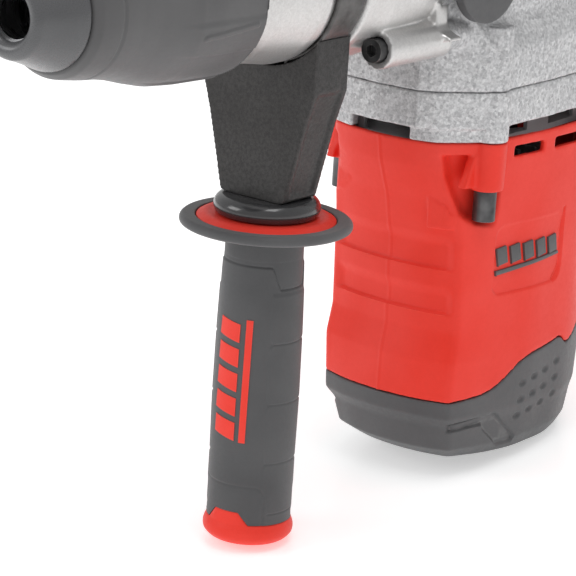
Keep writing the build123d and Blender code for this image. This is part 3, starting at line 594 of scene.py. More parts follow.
class CastSpeckle(ShaderGroup):
    """Bead-blasted casting skin: bright and dull specks with a shallow pitting."""

    name = "cast_speckle"
    numbers = {"Scale": 1400.0, "Amount": 0.3}
    colours = {"Colour": (0.7, 0.7, 0.72)}
    results = {"Colour": "NodeSocketColor", "Height": "NodeSocketFloat", "Mask": "NodeSocketFloat"}

    def wire(self, wiring: Wiring, given: bpy.types.NodeOutputs) -> dict[str, bpy.types.NodeSocket]:
        """Noise specks darken and lighten the colour; cells give the pits.

        Args:
            wiring: Adds nodes to the tree being built.
            given: Outputs of the group's input node.

        Returns:
            The socket that feeds each result.
        """
        place = wiring.add("ShaderNodeTexCoord").outputs["Object"]
        specks = wiring.add("ShaderNodeTexNoise", Vector=place, Scale=given["Scale"], Detail=4.0,
                            Roughness=0.7).outputs[0]
        grains = wiring.add("ShaderNodeTexVoronoi", Vector=place,
                            Scale=wiring.math("MULTIPLY", given["Scale"], 0.8))
        cells = grains.outputs["Distance"]
        specked = wiring.spread(specks, 0.36, 0.64, 0.0, 1.0)
        grained = wiring.spread(grains.outputs["Color"], 0.15, 0.85, 0.0, 1.0)
        mask = wiring.math("MULTIPLY", wiring.math("ADD", specked, grained), 0.5)
        dark = wiring.mix(given["Amount"], given["Colour"], (0.12, 0.12, 0.13, 1.0))
        light = wiring.mix(given["Amount"], given["Colour"], WHITE)
        return {"Colour": wiring.mix(mask, dark, light),
                "Height": wiring.math("ADD", specks, cells), "Mask": mask}


class Mottle(ShaderGroup):
    """Slow uneven tone, as a moulding or casting has over its length."""

    name = "mottle"
    numbers = {"Scale": 30.0, "Amount": 0.1}
    colours = {"Colour": (0.5, 0.5, 0.5)}
    results = {"Colour": "NodeSocketColor", "Mask": "NodeSocketFloat"}

    def wire(self, wiring: Wiring, given: bpy.types.NodeOutputs) -> dict[str, bpy.types.NodeSocket]:
        """Slow noise between a darker and a lighter tone.

        Args:
            wiring: Adds nodes to the tree being built.
            given: Outputs of the group's input node.

        Returns:
            The socket that feeds each result.
        """
        place = wiring.add("ShaderNodeTexCoord").outputs["Object"]
        slow = wiring.add("ShaderNodeTexNoise", Vector=place, Scale=given["Scale"], Detail=3.0).outputs[0]
        mask = wiring.spread(slow, 0.3, 0.7, 0.0, 1.0)
        dark = wiring.mix(given["Amount"], given["Colour"], (0.0, 0.0, 0.0, 1.0))
        faint = wiring.math("MULTIPLY", given["Amount"], 0.4)
        light = wiring.mix(faint, given["Colour"], WHITE)
        return {"Colour": wiring.mix(mask, dark, light), "Mask": mask}


class EdgeWear(ShaderGroup):
    """Lighter handling marks along outer edges, broken up by noise."""

    name = "edge_wear"
    numbers = {"Width": 0.0006, "Amount": 0.4}
    colours = {"Colour": (0.5, 0.5, 0.5), "Worn": (0.8, 0.8, 0.8)}
    results = {"Colour": "NodeSocketColor", "Mask": "NodeSocketFloat"}

    def wire(self, wiring: Wiring, given: bpy.types.NodeOutputs) -> dict[str, bpy.types.NodeSocket]:
        """A rounded normal differs from the true one only near edges.

        Args:
            wiring: Adds nodes to the tree being built.
            given: Outputs of the group's input node.

        Returns:
            The socket that feeds each result.
        """
        soft = wiring.add("ShaderNodeBevel", samples=4, Radius=given["Width"]).outputs[0]
        true = wiring.add("ShaderNodeNewGeometry").outputs["Normal"]
        product = wiring.add("ShaderNodeVectorMath", operation="DOT_PRODUCT", i0=soft, i1=true)
        facing = product.outputs["Value"]
        edge = wiring.spread(facing, 0.99, 0.86, 0.0, 1.0)
        place = wiring.add("ShaderNodeTexCoord").outputs["Object"]
        broken = wiring.add("ShaderNodeTexNoise", Vector=place, Scale=220.0, Detail=5.0).outputs[0]
        patchy = wiring.math("MULTIPLY", edge, wiring.spread(broken, 0.35, 0.6, 0.2, 1.0))
        mask = wiring.math("MULTIPLY", patchy, given["Amount"])
        return {"Colour": wiring.mix(mask, given["Colour"], given["Worn"]), "Mask": mask}


class BrushedLines(ShaderGroup):
    """Fine turning or grinding lines along an axis of the part."""

    name = "brushed_lines"
    numbers = {"Scale": 900.0}
    results = {"Height": "NodeSocketFloat", "Mask": "NodeSocketFloat"}

    def wire(self, wiring: Wiring, given: bpy.types.NodeOutputs) -> dict[str, bpy.types.NodeSocket]:
        """Noise squeezed along the spindle, so that it reads as turned lines.

        Args:
            wiring: Adds nodes to the tree being built.
            given: Outputs of the group's input node.

        Returns:
            The socket that feeds each result.
        """
        place = wiring.add("ShaderNodeTexCoord").outputs["Object"]
        squeezed = wiring.add("ShaderNodeMapping", Vector=place, Scale=(1.0, 0.06, 0.06)).outputs[0]
        noise = wiring.add("ShaderNodeTexNoise", Vector=squeezed, Scale=given["Scale"], Detail=2.0)
        lines = noise.outputs[0]
        return {"Height": lines, "Mask": wiring.spread(lines, 0.35, 0.65, 0.0, 1.0)}


MOULD_GRAIN, CAST_SPECKLE, MOTTLE, EDGE_WEAR, BRUSHED = (
    MouldGrain(), CastSpeckle(), Mottle(), EdgeWear(), BrushedLines())


# Finishes ----------------------------------------------------------------------


@dataclass(frozen=True)
class Finish:
    """What every surface finish has: a name and a colour."""

    name: str
    colour: Colour
    roughness: float = 0.45

    def material(self) -> bpy.types.Material:
        """The Blender material, built the first time it is asked for.

        Returns:
            The material.
        """
        label = f"{self.name}_finish"
        found = bpy.data.materials.get(label)
        if found:
            return found
        made = bpy.data.materials.new(label)
        made.use_nodes = True
        made.diffuse_color = (*self.colour, 1.0)
        made.node_tree.nodes.clear()
        wiring = Wiring(made.node_tree)
        shader = wiring.add("ShaderNodeBsdfPrincipled")
        sink = wiring.add("ShaderNodeOutputMaterial")
        made.node_tree.links.new(shader.outputs[0], sink.inputs["Surface"])
        self.dress(wiring, shader)
        return made

    def dress(self, wiring: Wiring, shader: bpy.types.Node) -> None:
        """Feeds the shader; each kind of finish has its own way."""
        raise NotImplementedError

    def feed(
        self, wiring: Wiring, shader: bpy.types.Node, label: str, source: bpy.types.NodeSocket,
    ) -> None:
        """Links a socket into the shader."""
        wiring.tree.links.new(source, shader.inputs[label])

    def relief(self, wiring: Wiring, shader: bpy.types.Node, height: bpy.types.NodeSocket, depth: float,
               strength: float = 1.0) -> None:
        """Bumps the surface by a height; depth is in millimetres."""
        bump = wiring.add("ShaderNodeBump", Strength=strength, Distance=depth * MM, Height=height)
        self.feed(wiring, shader, "Normal", bump.outputs[0])


@dataclass(frozen=True)
class MouldedPlastic(Finish):
    """Injection-moulded plastic with a spark-grained skin."""

    grain_scale: float = 1500.0
    grain_depth: float = 0.04
    grain_tone: float = 0.05
    specular: float = 0.4
    worn: Colour = (0.8, 0.8, 0.8)
    wear: float = 0.15
    coat: float = 0.0

    def dress(self, wiring: Wiring, shader: bpy.types.Node) -> None:
        """Mottled colour, lighter edges, grain in the bump and the gloss.

        Args:
            wiring: Adds nodes to the tree being built.
            shader: The material's shader node.
        """
        grain = MOULD_GRAIN.place(wiring, Scale=self.grain_scale)
        tone = MOTTLE.place(wiring, Colour=self.colour, Scale=25.0, Amount=0.06)
        dark = wiring.mix(self.grain_tone, tone.outputs["Colour"], (0.0, 0.0, 0.0, 1.0))
        grained = wiring.mix(grain.outputs["Mask"], dark, tone.outputs["Colour"])
        edges = EDGE_WEAR.place(wiring, Colour=grained, Worn=self.worn, Amount=self.wear, Width=0.0005)
        self.feed(wiring, shader, "Base Color", edges.outputs["Colour"])
        gloss = wiring.spread(grain.outputs["Mask"], 0.0, 1.0,
                              self.roughness + 0.06, self.roughness - 0.04)
        self.feed(wiring, shader, "Roughness", gloss)
        self.relief(wiring, shader, grain.outputs["Height"], self.grain_depth)
        shader.inputs["Specular IOR Level"].default_value = self.specular
        shader.inputs["Coat Weight"].default_value = self.coat
        shader.inputs["Coat Roughness"].default_value = 0.2


@dataclass(frozen=True)
class SoftRubber(Finish):
    """Matte overmoulded elastomer with a faint velvety sheen."""

    grain_scale: float = 2200.0
    grain_depth: float = 0.03
    sheen: float = 0.15

    def dress(self, wiring: Wiring, shader: bpy.types.Node) -> None:
        """Dark mottled rubber with a very fine grain and pale dusty edges.

        Args:
            wiring: Adds nodes to the tree being built.
            shader: The material's shader node.
        """
        grain = MOULD_GRAIN.place(wiring, Scale=self.grain_scale, Softness=0.6)
        tone = MOTTLE.place(wiring, Colour=self.colour, Scale=18.0, Amount=0.10)
        pale = tuple(min(1.0, 2.2 * c) for c in self.colour)
        edges = EDGE_WEAR.place(wiring, Colour=tone.outputs["Colour"], Worn=pale,
                                Amount=0.4, Width=0.0006)
        self.feed(wiring, shader, "Base Color", edges.outputs["Colour"])
        self.feed(wiring, shader, "Roughness", wiring.spread(
            grain.outputs["Mask"], 0.0, 1.0, self.roughness + 0.08, self.roughness - 0.05))
        self.relief(wiring, shader, grain.outputs["Height"], self.grain_depth)
        shader.inputs["Specular IOR Level"].default_value = 0.35
        shader.inputs["Sheen Weight"].default_value = self.sheen
        shader.inputs["Sheen Roughness"].default_value = 0.5


@dataclass(frozen=True)
class CastAluminium(Finish):
    """Die-cast aluminium, bead-blasted or smoothed."""

    speckle: float = 0.3
    speckle_scale: float = 1400.0
    pit_depth: float = 0.08
    metallic: float = 0.75

    def dress(self, wiring: Wiring, shader: bpy.types.Node) -> None:
        """Specks over a mottled silver, with polished outer edges.

        Args:
            wiring: Adds nodes to the tree being built.
            shader: The material's shader node.
        """
        tone = MOTTLE.place(wiring, Colour=self.colour, Scale=35.0, Amount=0.08)
        skin = CAST_SPECKLE.place(wiring, Colour=tone.outputs["Colour"], Scale=self.speckle_scale,
                                  Amount=self.speckle)
        edges = EDGE_WEAR.place(wiring, Colour=skin.outputs["Colour"], Worn=(0.95, 0.95, 0.95),
                                Amount=0.25, Width=0.0008)
        self.feed(wiring, shader, "Base Color", edges.outputs["Colour"])
        shader.inputs["Metallic"].default_value = self.metallic
        self.feed(wiring, shader, "Roughness", wiring.spread(
            skin.outputs["Mask"], 0.0, 1.0, self.roughness + 0.12, self.roughness - 0.08))
        self.relief(wiring, shader, skin.outputs["Height"], self.pit_depth)


@dataclass(frozen=True)
class MachinedMetal(Finish):
    """Turned or ground bare metal."""

    line_depth: float = 0.01

    def dress(self, wiring: Wiring, shader: bpy.types.Node) -> None:
        """Metal with fine tool lines and worn bright edges.

        Args:
            wiring: Adds nodes to the tree being built.
            shader: The material's shader node.
        """
        lines = BRUSHED.place(wiring, Scale=900.0)
        dark = tuple(0.8 * c for c in self.colour)
        toned = wiring.mix(lines.outputs["Mask"], (*dark, 1.0), (*self.colour, 1.0))
        edges = EDGE_WEAR.place(wiring, Colour=toned, Worn=(0.85, 0.85, 0.85), Amount=0.4, Width=0.0004)
        self.feed(wiring, shader, "Base Color", edges.outputs["Colour"])
        shader.inputs["Metallic"].default_value = 1.0
        self.feed(wiring, shader, "Roughness", wiring.spread(
            lines.outputs["Mask"], 0.0, 1.0, self.roughness + 0.08, self.roughness - 0.05))
        self.relief(wiring, shader, lines.outputs["Height"], self.line_depth)


@dataclass(frozen=True)
class DarkSteel(Finish):
    """Blackened or coated steel, with bare metal at its edges."""

    wear: float = 0.6

    def dress(self, wiring: Wiring, shader: bpy.types.Node) -> None:
        """A dark semi-metallic skin, rubbed at the corners.

        Args:
            wiring: Adds nodes to the tree being built.
            shader: The material's shader node.
        """
        grain = MOULD_GRAIN.place(wiring, Scale=1800.0)
        tone = MOTTLE.place(wiring, Colour=self.colour, Scale=90.0, Amount=0.25)
        edges = EDGE_WEAR.place(wiring, Colour=tone.outputs["Colour"], Worn=(0.45, 0.43, 0.40),
                                Amount=self.wear, Width=0.0004)
        self.feed(wiring, shader, "Base Color", edges.outputs["Colour"])
        shader.inputs["Metallic"].default_value = 0.6
        self.feed(wiring, shader, "Roughness", wiring.spread(
            grain.outputs["Mask"], 0.0, 1.0, self.roughness + 0.08, self.roughness - 0.06))
        self.relief(wiring, shader, grain.outputs["Height"], 0.02)


class Look:
    """The finishes of this tool, by the record's material slots."""

    RED = MouldedPlastic("red_satin_plastic", (0.88, 0.036, 0.018), 0.44, grain_depth=0.02,
                         grain_tone=0.03, worn=(0.95, 0.20, 0.15), wear=0.35, specular=0.25)
    GREY = MouldedPlastic("dark_grey_plastic", (0.085, 0.085, 0.088), 0.46,
                          worn=(0.25, 0.25, 0.25), wear=0.3)
    NOSE = MouldedPlastic("nose_cap_plastic", (0.075, 0.076, 0.080), 0.27, grain_depth=0.008,
                          specular=0.6, worn=(0.3, 0.3, 0.3), wear=0.2)
    BLOCK = MouldedPlastic("grained_black_plastic", (0.026, 0.023, 0.022), 0.44, grain_scale=2400.0,
                           grain_depth=0.14, grain_tone=0.6, worn=(0.14, 0.13, 0.13), wear=0.3)
    BLACK = MouldedPlastic("black_plastic", (0.015, 0.015, 0.016), 0.45, worn=(0.08, 0.08, 0.08))
    GLOSS = MouldedPlastic("glossy_black_plastic", (0.018, 0.018, 0.020), 0.18, grain_depth=0.004,
                           specular=0.6, worn=(0.1, 0.1, 0.1), coat=0.4)
    PALE = MouldedPlastic("pale_grey_plastic", (0.30, 0.30, 0.31), 0.4)
    SKIN = SoftRubber("soft_touch_grey", (0.072, 0.072, 0.075), 0.60)
    SLEEVE = SoftRubber("chuck_sleeve_rubber", (0.080, 0.079, 0.081), 0.52, sheen=0.1)
    SEAL = SoftRubber("black_seal_rubber", (0.012, 0.012, 0.012), 0.62)
    BLASTED = CastAluminium("blasted_casting", (0.54, 0.54, 0.55), 0.50, speckle=0.45, speckle_scale=900.0,
                            metallic=0.4)
    SMOOTH = CastAluminium("smooth_casting", (0.62, 0.61, 0.60), 0.38, speckle=0.10, pit_depth=0.02,
                           metallic=0.8)
    ALLOY = MachinedMetal("machined_alloy", (0.65, 0.65, 0.66), 0.3)
    STEEL = MachinedMetal("hardened_steel", (0.42, 0.42, 0.43), 0.28)
    BEARING = MachinedMetal("bearing_steel", (0.58, 0.58, 0.60), 0.18)
    SPRING = MachinedMetal("spring_wire", (0.25, 0.25, 0.26), 0.32)
    STACK = MachinedMetal("lamination_stack", (0.18, 0.17, 0.17), 0.45)
    COPPER = MachinedMetal("commutator_copper", (0.70, 0.32, 0.18), 0.3)
    BRASS = MachinedMetal("holder_brass", (0.70, 0.50, 0.22), 0.32)
    BAND = DarkSteel("coated_band", (0.030, 0.026, 0.024), 0.35)
    OXIDE = DarkSteel("black_oxide", (0.035, 0.035, 0.037), 0.34)
    CARBON = DarkSteel("pressed_carbon", (0.02, 0.02, 0.02), 0.6, wear=0.1)

    BY_SLOT: dict[str, Finish] = {
        "nose_plastic": NOSE, "sleeve_rubber": SLEEVE, "grey_rubber": SKIN, "seal_rubber": SEAL,
        "grey_plastic": GREY, "grained_plastic": BLOCK, "black_plastic": BLACK, "gloss_black": GLOSS,
        "light_plastic": PALE, "red_plastic": RED, "blasted_casting": BLASTED, "smooth_casting": SMOOTH,
        "piston_alloy": ALLOY, "hardened_steel": STEEL, "bearing_steel": BEARING, "spring_steel": SPRING,
        "band_steel": BAND, "black_oxide": OXIDE, "lamination_steel": STACK, "commutator_copper": COPPER,
        "holder_brass": BRASS, "carbon": CARBON,
    }


def dress(obj: bpy.types.Object, slot: str) -> None:
    """Gives an object the finish of a material slot."""
    obj.data.materials.clear()
    obj.data.materials.append(Look.BY_SLOT[slot].material())


def settle(
    obj: bpy.types.Object,
    body: Body,
    slot: str,
    nodes: Sequence[str] = (),
    sharp_degrees: float = 40.0,
) -> bpy.types.Object:
    """Finishes a new piece: shading, finish, body and the CAD nodes it stands for.

    Args:
        obj: The piece, in place.
        body: Body that it moves with.
        slot: Material slot of the record.
        nodes: CAD nodes that it replaces.
        sharp_degrees: Edges sharper than this stay crisp.

    Returns:
        The same object.
    """
    shade(obj, sharp_degrees)
    dress(obj, slot)
    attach(obj, body.value)
    if nodes:
        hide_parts(*nodes)
    LOG.info("%s: %d faces, rides on %s", obj.name, len(obj.data.polygons), body.value)
    return obj


# Chuck -------------------------------------------------------------------------


@dataclass
class Chuck:
    """Nose cap and locking sleeve."""

    lip_x: float = -30.0
    shoulder_x: float = -60.0
    facets: int = 6
    facet_depth: float = 0.9

    def build(self, frame: dict) -> None:
        """Makes both pieces.
        """
        self.nose()
        self.sleeve(frame)

    def nose(self) -> None:
        """Stepped mouth, bright rounded lip and a conical skirt."""
        cap = lathe("nose_cap", [
            (-2.6, 9.6, 0.4), (-2.6, 10.9, 0.3), (-0.4, 10.9, 0.4), (-0.4, 9.7, 0.5), (2.4, 9.7, 0.8),
            (4.6, 11.4, 1.2), (5.0, 14.2, 1.2), (3.4, 16.5, 1.6), (-1.4, 17.9, 2.0), (-8.0, 20.3, 3.0),
            (-14.6, 23.1, 1.0), (-16.3, 23.3, 0.5), (-16.3, 15.1, 0.3), (-2.8, 15.1, 0.3)], Along.SPINDLE)
        settle(cap, Body.SPINDLE, "nose_plastic", ["dust_cap"], 60.0)

    def sleeve(self, frame: dict) -> None:
        """Grip sleeve with a dark lip, shallow facets and a raised index rib.
        """
        skin = copy_of(frame, "locking_sleeve", "sleeve_skin")
        weld(skin)
        remesh(skin, 0.55, 6)
        points, normals = read_points(skin), read_normals(skin)
        x, radius = points[:, 0], np.hypot(points[:, 1], points[:, 2])
        angle = np.degrees(np.arctan2(points[:, 2], points[:, 1]))
        facing = (normals[:, 1] * points[:, 1] + normals[:, 2] * points[:, 2]) / radius
        outer = smooth_step(facing, 0.3, 0.7)
        period = 360.0 / self.facets
        phase = np.abs((angle - 8.0) % period / period - 0.5) * 2.0
        body = smooth_step(x, self.shoulder_x + 4, self.shoulder_x - 14)
        flat = smooth_step(phase, 0.32, 0.45) * body * self.facet_depth
        lip = 0.5 * smooth_step(np.abs(x - self.lip_x), 1.0, 0.3)
        rib = 0.7 * smooth_step(line_distance(x, angle * 0.62, [(-71.0, -12.0), (-99.0, -9.0)]), 1.4, 0.8)
        shift = (rib - flat - lip) * outer
        radial = np.column_stack([np.zeros_like(x), points[:, 1] / radius, points[:, 2] / radius])
        write_points(skin, points + radial * shift[:, None])
        settle(skin, Body.SLEEVE, "sleeve_rubber", ["locking_sleeve"], 60.0)


# Castings ----------------------------------------------------------------------


@dataclass
class Castings:
    """Neck, gear case and its base ring, with cast edges and flowing bosses."""

    voxel: float = 0.75
    skirt_z: float = -78.4
    skirt_top: float = -66.0

    def build(self, frame: dict) -> None:
        """Makes the three castings and the cover.
        """
        self.neck(frame)
        self.case(frame)
        self.base_ring(frame)
        self.cover(frame)

    def neck(self, frame: dict) -> None:
        """Smooth cone that fills out the slim front of the CAD neck.
        """
        neck = copy_of(frame, "neck_housing", "neck_casting")
        weld(neck)
        cone = lathe("cone", [(-106.2, 28.6, 0.3), (-106.2, 30.9, 0.8), (-114.0, 32.3, 0.5),
                              (-126.0, 33.9, 0.5), (-126.0, 28.6, 0.3)], Along.SPINDLE)
        join(neck, [cone])
        remesh(neck, self.voxel, 3)
        settle(neck, Body.HOUSING, "smooth_casting", ["neck_housing"], 50.0)

    def case(self, frame: dict) -> None:
        """Gear case with domes on its front columns.
        """
        case = copy_of(frame, "gear_housing", "gear_case")
        weld(case)
        extras = []
        for side in (-1, 1):
            extras.append(lathe(f"dome{side}", [(-55.9, 0.01, 0), (-55.9, 7.2, 0.5), (-33.0, 6.6, 4.0),
                                                (-27.5, 1.5, 1.5), (-27.5, 0.01, 0)],
                                Along.UPRIGHT, (-261.0, side * 38.0), 48))
        join(case, extras)
        remesh(case, self.voxel, 4)
        settle(case, Body.HOUSING, "blasted_casting", ["gear_housing"], 50.0)

    def base_ring(self, frame: dict) -> None:
        """The lower crankcase ring with a wide skirt at each front corner.
        """
        ring = copy_of(frame, "crankcase_base", "crankcase_ring")
        weld(ring)
        shape = MotorShell()
        skirts = [shape.corner("skirt", side, (self.skirt_z, self.skirt_top), 14.5, (-1.0, 4.0))
                  for side in (-1, 1)]
        below = [(-400.0, -80.0), (-200.0, -80.0), (-200.0, 80.0), (-400.0, 80.0)]
        carve(ring, [prism("below", below, -120.0, self.skirt_z)])
        join(ring, skirts)
        remesh(ring, self.voxel, 3)
        settle(ring, Body.HOUSING, "blasted_casting", ["crankcase_base"], 50.0)

    def cover(self, frame: dict) -> None:
        """Top cover.
        """
        cover = copy_of(frame, "top_cover", "gear_case_cover")
        weld(cover)
        remesh(cover, self.voxel, 3)
        settle(cover, Body.HOUSING, "blasted_casting", ["top_cover"], 50.0)


# Motor housing and base ----------------------------------------------------------


@dataclass
class MotorShell:
    """Red motor housing and the dark base under it, from one set of sections."""

    sections: tuple[tuple[float, ...], ...] = (
        (-78.7, -232.0, 6.0, 27.0, 43.2, -366.0),
        (-90.0, -234.5, 7.0, 29.5, 43.0, -366.0),
        (-106.0, -241.0, 6.5, 33.0, 42.6, -366.0),
        (-121.0, -244.5, 6.0, 34.0, 42.3, -366.0),
        (-165.0, -247.2, 6.0, 34.5, 42.3, -366.0),
        (-178.0, -244.6, 6.0, 35.0, 42.5, -366.0),
        (-203.5, -244.4, 7.0, 34.0, 41.5, -365.0),
        (-208.5, -249.2, 6.6, 32.6, 40.2, -364.0),
        (-220.0, -251.4, 7.6, 30.6, 38.6, -362.5),
        (-226.0, -262.0, 5.0, 25.0, 35.4, -360.0),
    )
    scoop: tuple[tuple[float, float], ...] = (
        (-118.0, -261.5), (-115.5, -253.5), (-110.5, -246.5), (-103.0, -242.2), (-94.0, -238.6),
        (-84.0, -237.2),
    )
    scoop_depth: float = 6.8
    parting: tuple[tuple[float, float], ...] = (
        (-215.0, -197.5), (-262.0, -195.5), (-276.0, -193.8), (-286.0, -188.5), (-296.0, -181.5),
        (-316.0, -179.0), (-325.5, -176.6), (-331.5, -183.5), (-352.0, -170.0), (-385.0, -166.0),
    )
    wall: float = 3.0
    screw_x: tuple[float, float] = (-261.0, -352.0)
    screw_y: tuple[float, float] = (38.0, 31.0)
    boss_top: float = -78.7
    boss_low: float = -100.0
    columns: int = 300
    outer_rings: int = 111
    inner_rings: int = 60

    def build(self) -> None:
        """Makes the housing, the base and the raised marks."""
        self.housing()
        self.base()
        self.marks()

    def section(self, z: float, inset: float) -> Array:
        """The plan outline at one height, with rounded corners.

        Args:
            z: Height.
            inset: Distance inward from the outer skin.

        Returns:
            A closed outline of points spaced evenly.
        """
        table = np.array(self.sections)[::-1]
        front, setback, ridge, side, rear = (np.interp(z, table[:, 0], table[:, k]) for k in range(1, 6))
        half = [
            (front - inset, 0.0), (front - 0.25 * setback - inset, 0.55 * ridge),
            (front - setback - inset, ridge - 0.4 * inset),
            (front - setback - 16 - 0.5 * inset, side - 3.6 - inset), (-300.0, side - inset),
            (rear + 32, side - 1.2 - inset), (rear + 8 + 0.5 * inset, 0.75 * side - inset),
            (rear + inset, 0.35 * side),
        ]
        ring = np.array(half + [(x, -y) for x, y in reversed(half) if y] + [half[0]])
        runs = np.r_[0.0, np.cumsum(np.hypot(*np.diff(ring, axis=0).T))]
        at = np.linspace(0.0, runs[-1], self.columns, endpoint=False)
        even = np.column_stack([np.interp(at, runs, ring[:, k]) for k in (0, 1)])
        wide, tight = (self.soften(even, width) for width in (5.0, 1.6))
        from_ridge = (even[:, 0] - front + setback) ** 2 + (np.abs(even[:, 1]) - ridge) ** 2
        ridge_share = np.exp(-from_ridge / 60.0)
        return wide + (tight - wide) * ridge_share[:, None]

    def soften(self, ring: Array, width: float) -> Array:
        """Averages a closed ring over a width in points.

        Args:
            ring: Closed outline of points.
            width: Width of the average in points.

        Returns:
            The averaged outline.
        """
        reach = np.arange(-int(3 * width), int(3 * width) + 1)
        weights = np.exp(-0.5 * (reach / width) ** 2)
        weights /= weights.sum()
        return sum(w * np.roll(ring, -int(k), axis=0) for w, k in zip(weights, reach))

    def shell(self, name: str, top: float, floor_z: float | None) -> bpy.types.Object:
        """A hollow loft from the lip to the underside.

        Args:
            name: Object name.
            top: Height of the upper edge.
            floor_z: Height of the inside floor, or None for no floor.

        Returns:
            The new object.
        """
        low = self.sections[-1][0]
        last = self.outer_rings - 1
        heights = [top - (top - low) * k / last for k in range(self.outer_rings)]
        rings = [np.column_stack([self.section(z, 0.0), np.full(self.columns, z)]) for z in heights]
        inner_low = floor_z if floor_z is not None else low
        for k in range(self.inner_rings):
            z = inner_low + (top - inner_low) * k / (self.inner_rings - 1)
            rings.append(np.column_stack([self.section(z, self.wall), np.full(self.columns, z)]))
        count, columns = len(rings), self.columns
        faces = ring_faces(count, columns)
        if floor_z is not None:
            faces = [q for q in faces if {q[0] // columns, q[2] // columns} != {last, last + 1}]
            faces.append(tuple(range(last * columns, (last + 1) * columns)))
            faces.append(tuple(range((last + 1) * columns, (last + 2) * columns))[::-1])
        made = mesh_object(name, np.vstack(rings), faces)
        outward(made)
        return made

    def corner(self, name: str, side: int, heights: tuple[float, float], from_y: float,
               insets: tuple[float, float], to_x: float = -268.0) -> bpy.types.Object:
        """A solid that follows the skin round a front corner.

        Args:
            name: Object name.
            side: 1 for the left, -1 for the right.
            heights: Low and high Z.
            from_y: Distance from the middle plane at which it starts on the front.
            insets: Depth of its outer and its inner face under the skin.
            to_x: X at which it ends on the side.

        Returns:
            The new object.
        """
        faces = []
        for inset in insets:
            ring = self.section(0.5 * (heights[0] + heights[1]), inset)
            kept = ring[(ring[:, 1] > from_y) & (ring[:, 0] > to_x)]
            faces.append(kept[np.argsort(kept[:, 1] - kept[:, 0])])
        outline = np.vstack([faces[0], faces[1][::-1]]) * (1.0, side)
        return prism(name, outline, *heights)

    def scoop_cutter(self, side: int) -> bpy.types.Object:
        """The hollow round a front screw head, deepest at the screw and open to the side.

        Args:
            side: 1 for the left, -1 for the right.

        Returns:
            The new object.
        """
        table = np.array(self.scoop)
        levels, across = 40, 30
        around = 2 * across
        loops = []
        for z in np.linspace(table[0, 0], table[-1, 0], levels):
            start = float(np.interp(z, table[:, 0], table[:, 1]))
            x, level = np.linspace(start, -270.0, across), np.full(across, z)
            skin = np.array([self.side_y(at, z) for at in x])
            depth = self.scoop_depth * smooth_step(start - x, 0.0, 12.0) * smooth_step(x, -270.5, -266.5)
            depth = depth * smooth_step(level, -119.0, -112.0)
            outer = np.column_stack([x, skin + 4.0, level])
            inner = np.column_stack([x, skin - depth + 0.2, level])[::-1]
            loops.append(np.vstack([outer, inner]) * (1.0, side, 1.0))
        faces = [q for q in ring_faces(levels, around) if {q[0] // around, q[2] // around} != {0, levels - 1}]
        faces.append(tuple(range(around)))
        faces.append(tuple(range((levels - 1) * around, levels * around))[::-1])
        made = mesh_object("scoop", np.vstack(loops), faces)
        outward(made)
        return made

    def region(self, name: str, above: bool, shift: float) -> bpy.types.Object:
        """A block above or below the parting line, across the whole width.

        Args:
            name: Object name.
            above: True for the side above the line.
            shift: Distance that the line is moved up.

        Returns:
            The new object.
        """
        end = 20.0 if above else -300.0
        line = np.array(self.parting)
        for _ in range(3):
            line = np.vstack([line[:1], *[[0.75 * a + 0.25 * b, 0.25 * a + 0.75 * b]
                                          for a, b in zip(line[:-1], line[1:])], line[-1:]])
        line = [(x, z + shift) for x, z in line]
        return prism(name, [*line, (-385.0, end), (-215.0, end)], -80.0, 80.0, 1)

    def housing(self) -> None:
        """Red shell with hollowed screw bosses, vents, stepped bands and a label recess."""
        shell = self.shell("motor_shell", self.sections[0][0], None)
        cutters = [self.region("below", False, 0.2)]
        backs = [self.corner("back", side, (-117.5, -79.2), 20.0, (1.2, 9.0), -275.0) for side in (-1, 1)]
        for side, back in zip((-1, 1), backs):
            carve(back, [self.scoop_cutter(side)])
            cutters.append(self.scoop_cutter(side))
        bosses = []
        for x, y in zip(self.screw_x, self.screw_y):
            for side in (-1, 1):
                cutters.append(lathe("screw_room", [(self.boss_low, 0.01, 0), (self.boss_low, 6.4, 0.5),
                                                    (-116.5, 6.4, 3.0), (-116.5, 0.01, 0)],
                                     Along.UPRIGHT, (x, side * y), 40))
                bosses.append(lathe("boss", [
                    (self.boss_top, 5.3, 0), (self.boss_top, 8.0, 0.5), (self.boss_low, 7.6, 0.8),
                    (self.boss_low, 5.3, 0)], Along.UPRIGHT, (x, side * y), 60))
        for side in (-1, 1):
            bosses.append(prism("gusset", [
                (-267.5, -99.5), (-246.0, -98.0), (-255.0, self.boss_top), (-267.5, self.boss_top)],
                *sorted((side * 33.5, side * 37.5)), 1))
            for low, high in ((-297.4, -276.4), (-328.0, -305.6)):
                cutters.append(prism("vent", [
                    (low, -87.75), (high, -87.75), (high, -82.85), (low, -82.85)],
                    *sorted((side * 36.0, side * 50.0)), 1))
        carve(shell, cutters)
        join(shell, [*backs, *bosses])
        remesh(shell, 0.65, 3)
        self.emboss(shell)
        settle(shell, Body.HOUSING, "red_plastic", ["motor_housing"], 45.0)

